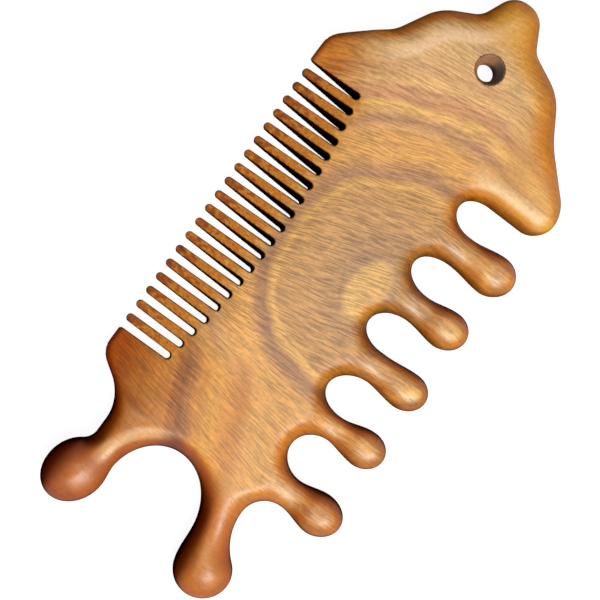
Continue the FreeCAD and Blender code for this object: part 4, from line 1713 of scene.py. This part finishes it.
    def material(self) -> bpy.types.Material:
        """Make the wood.

        Returns:
            The material.
        """
        wood = Palette("oiled_heartwood")
        here = (wood.x, wood.y, wood.z)
        turns = [(wood.step(wood.x, *run), change) for change, run in self.lean_changes]
        lean = wood.total((1.0, self.lean), *turns)
        grain = wood.math("MULTIPLY_ADD", lean, wood.math("MAXIMUM", wood.y, self.lean_limit), wood.x)
        cloud = wood.noise(here, self.clouds)
        along = (wood.total((cloud, self.wave), (grain, 1.0)), wood.y, wood.z)
        streaks, broad = wood.noise(along, self.streaks), wood.noise(along, self.broad)
        colour, band = self.figure(wood, streaks, cloud)
        colour = self.streaked(wood, colour, streaks, broad, band)
        colour = self.worked(wood, colour, cloud)
        colour = wood.scaled(colour, wood.swayed(wood.noise(here, self.mottle), self.mottle_contrast))
        pores = wood.step(wood.noise(along, self.pores), *self.pore_rise)
        colour = wood.scaled(colour, wood.rest(pores, self.pore_depth))
        wood.put("Base Color", wood.mix(1.0, colour, tone(*self.oil), Blend.DEEPEN))
        self.sheen(wood, streaks, cloud, pores)
        return wood.material

    def figure(self, wood: Palette, streaks: Value, cloud: Value) -> tuple[Socket, Socket]:
        """Draw the growth lines: rings round the heart, which flare out towards the tail.

        Args:
            wood: the palette.
            streaks: the fine streaks, which fray the lines.
            cloud: the slow clouds, which bend them.

        Returns:
            The colour, and where the dark band runs across the tail.
        """
        depth = wood.math("SUBTRACT", self.top, wood.z)
        wander = wood.total(
            (cloud, self.bend), (streaks, self.fray), (depth, self.drift), (1.0, self.centring)
        )
        ring = wood.total((wood.distance(self.heart), 1.0), (wander, 1.0))
        back = wood.math("SUBTRACT", wood.x, self.flare_start)
        bent = wood.both(back, back)
        line = wood.total((wood.y, 1.0), (wood.x, self.flare_slope), (bent, self.flare_curve), (wander, 1.0))
        tail = wood.step(wood.x, *self.tail)
        colour = wood.mix(tail, wood.bands(ring, self.rings), wood.bands(line, self.flare))
        growth = wood.math("MULTIPLY_ADD", tail, wood.math("SUBTRACT", line, ring), ring)
        fine = wood.noise((growth, cloud, 0.0), self.fine)
        colour = wood.scaled(colour, wood.swayed(fine, self.fine_contrast))
        reach = wood.total((wood.distance(self.patch, self.patch_size), 1.0), (wander, self.patch_fray))
        colour = wood.washed(colour, self.heart_washes, {"x": wood.x, "ring": ring, "reach": reach})
        return colour, wood.both(wood.within(line, *self.dark_band), tail)

    def streaked(self, wood: Palette, colour: Value, streaks: Value, broad: Value, band: Value) -> Socket:
        """Lay dark and light streaks over the figure, strongest in the middle and in the dark band.

        Args:
            wood: the palette.
            colour: the figure.
            streaks: the fine streaks.
            broad: the broad streaks.
            band: where the dark band runs.

        Returns:
            The streaked colour.
        """
        middle, limb = wood.within(wood.x, *self.middle), wood.step(wood.x, *self.limb_flats)
        flat = wood.step(wood.tilt, *self.flat)
        strength = wood.total(*zip((1.0, middle, band, flat, limb), self.streak_strengths))
        share = wood.math("SUBTRACT", wood.step(streaks, *self.streak_rise), 0.5)
        sway = wood.swayed(broad, self.broad_contrast)
        change = wood.total((wood.both(share, strength), self.streak_contrast), (sway, 1.0))
        measures = {"share": share, "strength": strength}
        return wood.washed(wood.scaled(colour, change), (self.dark_streak,), measures)

    def measures(self, wood: Palette, cloud: Value) -> dict[str, Value]:
        """Work out what the washes are measured by.

        Args:
            wood: the palette.
            cloud: the slow clouds.

        Returns:
            Places, directions, marks on the mesh and shares of the comb, by name.
        """
        head, brow = wood.step(wood.x, *self.head), wood.step(wood.y, *self.brow)
        front = wood.step(wood.x, *self.front)
        above = wood.both(head, brow, wood.step(wood.outward, *self.facing_out))
        below = wood.both(front, wood.step(wood.outward, *self.facing_in))
        kept = wood.total((above, -self.spared[0]), (below, -self.spared[1]), (1.0, 1.0))
        edge = wood.both(wood.step(wood.tilt, *self.edge), kept)
        lit = wood.math("MAXIMUM", wood.step(wood.along, *self.lit), wood.step(wood.outward, *self.lit))
        # sawn names the mark of the slot walls, which are painted in shade.
        marks = {"rim": Mark.RIM, "sawn": Mark.SLOT_SHADE, "drilled": Mark.DRILLED}
        return {
            "x": wood.x,
            "y": wood.y,
            "along": wood.along,
            "outward": wood.outward,
            "tilt": wood.tilt,
            "cloud": cloud,
            "bay": wood.distance(self.bay),
            "head": head,
            "brow": brow,
            "kept": kept,
            "edge": edge,
            "flat": wood.rest(edge),
            "unlit": wood.rest(wood.math("MAXIMUM", lit, front), self.lit_spared),
            "behind": wood.rest(front, self.front_spared),
            "body": wood.rest(head),
        } | {name: wood.mark(mark) for name, mark in marks.items()}

    def worked(self, wood: Palette, colour: Value, cloud: Value) -> Socket:
        """Deepen the colour of limbs, rounded edges and teeth, partly as the wood's own tone and partly as
        painted shade, and paint shade in the slots and the drilled eye and highlights on the jaw and the
        upper tail neck.

        Args:
            wood: the palette.
            colour: the plain wood.
            cloud: the slow clouds.

        Returns:
            The colour of the worked wood, with its painted shade and highlights.
        """
        measures = self.measures(wood, cloud)
        veined = self.between(wood, wood.step(cloud, *self.vein_rise), self.veins)
        limbs = wood.both(wood.step(wood.x, *self.limbs), self.limb_strength)
        colour = wood.washed(wood.mix(limbs, colour, veined), self.jaw_tone_and_highlight, measures)
        # Lighter over the balls of the prongs from the third on, and over the foot of the jaw.
        lightened_area = self.area(wood, self.lightened_area)
        colour = wood.scaled(colour, wood.total((lightened_area, self.ball_lightening), (1.0, 1.0)))
        colour = wood.washed(colour, self.edge_tones_and_painted_light, measures)
        row = self.area(wood, self.row)
        flecks = wood.noise((wood.x, wood.y, wood.z), self.flecks)
        patches = wood.total((flecks, self.fleck_height), (wood.y, 1.0), (1.0, -self.fleck_height / 2))
        colour = wood.mix(row, colour, wood.bands(patches, self.toothed))
        guard = self.between(wood, wood.step(wood.x, *self.guard_change), self.guard_tones)
        guards = wood.both(self.area(wood, self.guards), wood.rest(row))
        colour = wood.mix(guards, colour, guard, Blend.DEEPEN)
        # Painted shade in the eye: its walls grey-brown, lighter where they face the key lamp, greyer and
        # darker where they face +Y.
        bore = self.between(wood, wood.step(wood.outward, *self.bore_shade_rise), self.bore_lit_and_shaded_tones)
        colour = wood.mix(measures["drilled"], colour, bore)
        return wood.washed(colour, self.slot_and_eye_shade, measures)

    @staticmethod
    def between(wood: Palette, share: Value, tones: tuple[Chart, Chart]) -> Socket:
        """Mix two tones."""
        return wood.mix(share, tone(*tones[0]), tone(*tones[1]))

    @staticmethod
    def area(wood: Palette, limits: tuple[Rise, Rise]) -> Value:
        """Return 1 in an area of the comb, given by its rises along and across."""
        return wood.both(wood.within(wood.x, *limits[0]), wood.within(wood.y, *limits[1]))

    def sheen(self, wood: Palette, streaks: Value, cloud: Value, pores: Value) -> None:
        """Give the oiled surface its soft gloss and its fine relief.

        Args:
            wood: the palette.
            streaks: the fine streaks.
            cloud: the slow clouds.
            pores: the pores.
        """
        changes = zip((streaks, cloud, pores), self.roughening)
        wood.put("Roughness", wood.total((1.0, self.roughness), *changes))
        bare = wood.math("ADD", wood.mark(Mark.SLOT_SHADE), wood.mark(Mark.DRILLED))
        tail, prongs = wood.step(wood.x, *self.polished_tail), self.area(wood, self.polished_prongs)
        rounded = wood.both(wood.math("MAXIMUM", tail, prongs), wood.step(wood.tilt, *self.rounded))
        polish = wood.total((rounded, self.polish), (1.0, self.shine))
        level, outward = self.shining
        shown = wood.both(wood.step(wood.tilt, *level), wood.step(wood.outward, *outward))
        wood.put("Specular IOR Level", wood.both(polish, shown, wood.rest(bare)))
        height = wood.total((streaks, 1.0), (pores, self.pore_relief))
        given = {"Strength": self.relief, "Distance": self.relief_height * METRES, "Height": height}
        wood.put("Normal", add_node(wood.tree, "Bump", given).outputs[0])


class Comb:
    """The dressed comb: carves the body, saws it into members and hangs them on the frame."""

    def __init__(self, carved: CarvedComb, finish: Heartwood) -> None:
        """Keep the shape of the whole comb and the wood it is made of."""
        self.carved = carved
        self.finish = finish

    def members(self) -> list[Member]:
        """List every member but the board, with its cut.

        Returns:
            The members, in the order of their cuts.
        """
        board, teeth, belly, head = self.carved.board, self.carved.teeth, self.carved.belly, self.carved.head
        neck, chin = teeth.front_guard_end, head.jaw_root
        gullets = [belly.gullet(number, head.jaw_wall).x for number in range(len(belly.prongs) + 1)]
        slots = [teeth.slot(number) for number in range(teeth.count + 1)]
        members = [
            Member("head", 0, neck, 1, (chin, FAR)),
            Member("jaw", 1, chin, -1, (gullets[-1], FAR)),
            Member("front_guard", 1, teeth.front_guard_root, 1, (slots[-1], neck)),
            Member("rear_guard", 1, teeth.rear_guard_root, 1, (teeth.rear_guard_end, slots[0])),
        ]
        for number in range(teeth.count):
            span = (slots[number], slots[number + 1])
            members.append(Member(f"tooth_{number + 1:02d}", 1, teeth.root(number), 1, span))
        for prong in belly.prongs:
            span = (gullets[prong.number - 1], gullets[prong.number])
            members.append(Member(f"massage_prong_{prong.number}", 1, prong.root_y, -1, span))
        for lobe in self.carved.lobes:
            span = tuple(sorted((board.bay.middle[1], lobe.outward * FAR)))
            members.append(Member(lobe.name, 0, lobe.root_x, -1, span))
        return members

    def build(self) -> None:
        """Carve, saw, dress and hang every member on its body."""
        plan = self.carved.survey()
        points, directions, faces = self.carved.carve(plan)
        LOG.info("carved body: %d points, %d faces", len(points), len(faces))
        sawyer = Sawyer(points, directions, faces)
        members = self.members()
        for member in members:
            sawyer.saw(member)
        material = self.finish.material()
        for node, taken in sawyer.share_out(members, "board").items():
            piece = self.piece(f"wood_{node}", sawyer, taken)
            self.note_marks(piece.data, plan)
            piece.data.materials.append(material)
            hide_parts(node)
            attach(piece, "root")
            LOG.info("%s: %d faces", piece.name, len(piece.data.polygons))

    def note_marks(self, mesh: bpy.types.Mesh, plan: PlanMap) -> None:
        """Note on a mesh where the slot walls take painted shade, where the drilled eye lies and how near the
        rim each place is.

        Args:
            mesh: the mesh.
            plan: the plan map.
        """
        places = np.empty(len(mesh.vertices) * 3)
        mesh.vertices.foreach_get("co", places)
        for mark, values in self.carved.marks(places.reshape(-1, 3) / METRES, plan).items():
            layer = mesh.attributes.new(mark.value, "FLOAT", "POINT")
            layer.data.foreach_set("value", values.astype(np.float32))

    @staticmethod
    def piece(name: str, sawyer: Sawyer, faces: list[list[int]]) -> bpy.types.Object:
        """Make one member as a closed mesh whose shading runs on into its neighbours.

        Args:
            name: name of the piece.
            sawyer: the sawn body.
            faces: the member's faces.

        Returns:
            The new object.
        """
        points, directions = sawyer.table()
        closing = sawyer.close(faces)
        used = np.unique([number for face in faces for number in face])
        order = {int(number): index for index, number in enumerate(used)}
        corners = [[order[number] for number in face] for face in faces]
        normals = [directions[number] for face in faces for number in face]
        for loop, direction in closing:
            corners.append([order[number] for number in loop])
            normals += [direction] * len(loop)
        mesh = bpy.data.meshes.new(name)
        mesh.from_pydata((points[used] * METRES).tolist(), [], corners)
        mesh.shade_smooth()
        mesh.normals_split_custom_set(np.array(normals).tolist())
        mesh.update()
        piece = bpy.data.objects.new(name, mesh)
        bpy.context.collection.objects.link(piece)
        return piece


# ---------------------------------------------------------------- the studio


@dataclass(frozen=True)
class Lamp:
    """A soft square lamp aimed at the comb."""

    name: str
    place: tuple[float, float, float]
    side: float
    power: float

    def hang(self, target: Vector) -> None:
        """Hang the lamp and aim it.

        Args:
            target: the place it is aimed at.
        """
        data = bpy.data.lights.new(self.name, "AREA")
        data.shape = "SQUARE"
        data.size = self.side
        data.energy = self.power
        lamp = bpy.data.objects.new(self.name, data)
        lamp.location = Vector(self.place)
        lamp.rotation_euler = (target - lamp.location).to_track_quat("-Z", "Y").to_euler()
        bpy.context.collection.objects.link(lamp)


@dataclass
class Studio:
    """The white floor, the lamps and the camera."""

    camera_place: tuple[float, float, float] = (-0.02995, 0.03341, 0.366)
    camera_right: tuple[float, float, float] = (0.59476864, -0.79794334, 0.097656)
    camera_up: tuple[float, float, float] = (0.80203128, 0.59726508, -0.00449902)
    camera_ahead: tuple[float, float, float] = (0.05473655, -0.08099904, -0.99521006)
    lens: float = 82.258
    sensor: float = 36.0
    nearest: float = 0.01
    floor_side: float = 6.0
    floor_tone: Tone = (0.25, 0.25, 0.25, 1.0)
    floor_glow: float = 0.92
    world_light: float = 0.10
    lamps: tuple[Lamp, ...] = (
        Lamp("key_lamp", (-0.25, -0.42, 0.87), 0.5, 8.4),
        Lamp("sky_lamp", (0.0, 0.0, 1.3), 0.5, 2.7),
    )

    def build(self) -> None:
        """Set up the floor, the lamps, the world and the camera."""
        self.floor()
        self.world()
        for lamp in self.lamps:
            lamp.hang(Vector((0.0, 0.0, 0.0)))
        self.camera()
        bpy.context.scene.view_settings.view_transform = "Standard"

    def floor(self) -> None:
        """Lay a white floor that shows the comb's shadow."""
        half = self.floor_side / 2
        mesh = bpy.data.meshes.new("floor")
        corners = [(-half, -half, 0), (half, -half, 0), (half, half, 0), (-half, half, 0)]
        mesh.from_pydata(corners, [], [(0, 1, 2, 3)])
        floor = bpy.data.objects.new("floor", mesh)
        bpy.context.collection.objects.link(floor)
        material = bpy.data.materials.new("white_floor")
        material.use_nodes = True
        tree = material.node_tree
        tree.nodes.clear()
        white = add_node(tree, "BsdfDiffuse", {"Color": self.floor_tone})
        nothing = add_node(tree, "Emission", {"Strength": 0.0})
        glow = add_node(tree, "Emission", {"Strength": self.floor_glow})
        pick = add_node(tree, "MixShader", {0: self.seen(tree), 1: nothing.outputs[0], 2: glow.outputs[0]})
        both = add_node(tree, "AddShader", {0: white.outputs[0], 1: pick.outputs[0]})
        add_node(tree, "OutputMaterial", {0: both.outputs[0]})
        mesh.materials.append(material)

    @staticmethod
    def seen(tree: bpy.types.NodeTree) -> Socket:
        """Tell the rays that show the white studio.

        Args:
            tree: the tree of nodes.

        Returns:
            1 for rays from the camera, mirror rays and rays through glass, or else 0.
        """
        rays = add_node(tree, "LightPath", {})
        total = rays.outputs["Is Camera Ray"]
        for name in ("Is Glossy Ray", "Is Transmission Ray"):
            given = {0: total, 1: rays.outputs[name]}
            total = add_node(tree, "Math", given, operation="MAXIMUM").outputs[0]
        return total

    def world(self) -> None:
        """Light the comb evenly from all round, and show white beyond the floor."""
        world = bpy.data.worlds.new("studio")
        bpy.context.scene.world = world
        world.use_nodes = True
        tree = world.node_tree
        background = tree.nodes["Background"]
        background.inputs["Color"].default_value = (1.0, 1.0, 1.0, 1.0)
        limits = {"To Min": self.world_light, "To Max": 1.0}
        level = add_node(tree, "MapRange", {"Value": self.seen(tree), **limits})
        tree.links.new(level.outputs[0], background.inputs["Strength"])

    def camera(self) -> None:
        """Place the camera above the comb."""
        data = bpy.data.cameras.new("camera")
        data.lens = self.lens
        data.sensor_width = self.sensor
        data.clip_start = self.nearest
        camera = bpy.data.objects.new("camera", data)
        axes = Matrix((self.camera_right, self.camera_up, -Vector(self.camera_ahead))).transposed().to_4x4()
        camera.matrix_world = Matrix.Translation(self.camera_place) @ axes
        bpy.context.collection.objects.link(camera)
        bpy.context.scene.camera = camera


# ---------------------------------------------------------------- the whole scene


def main() -> None:
    """Build the studio and the comb; the comb logs the size of its carved body and of each member."""
    logging.basicConfig(level=logging.INFO, format="%(name)s: %(message)s")
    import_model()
    Studio().build()
    Comb(CarvedComb(), Heartwood()).build()


if __name__ == "__main__":
    main()
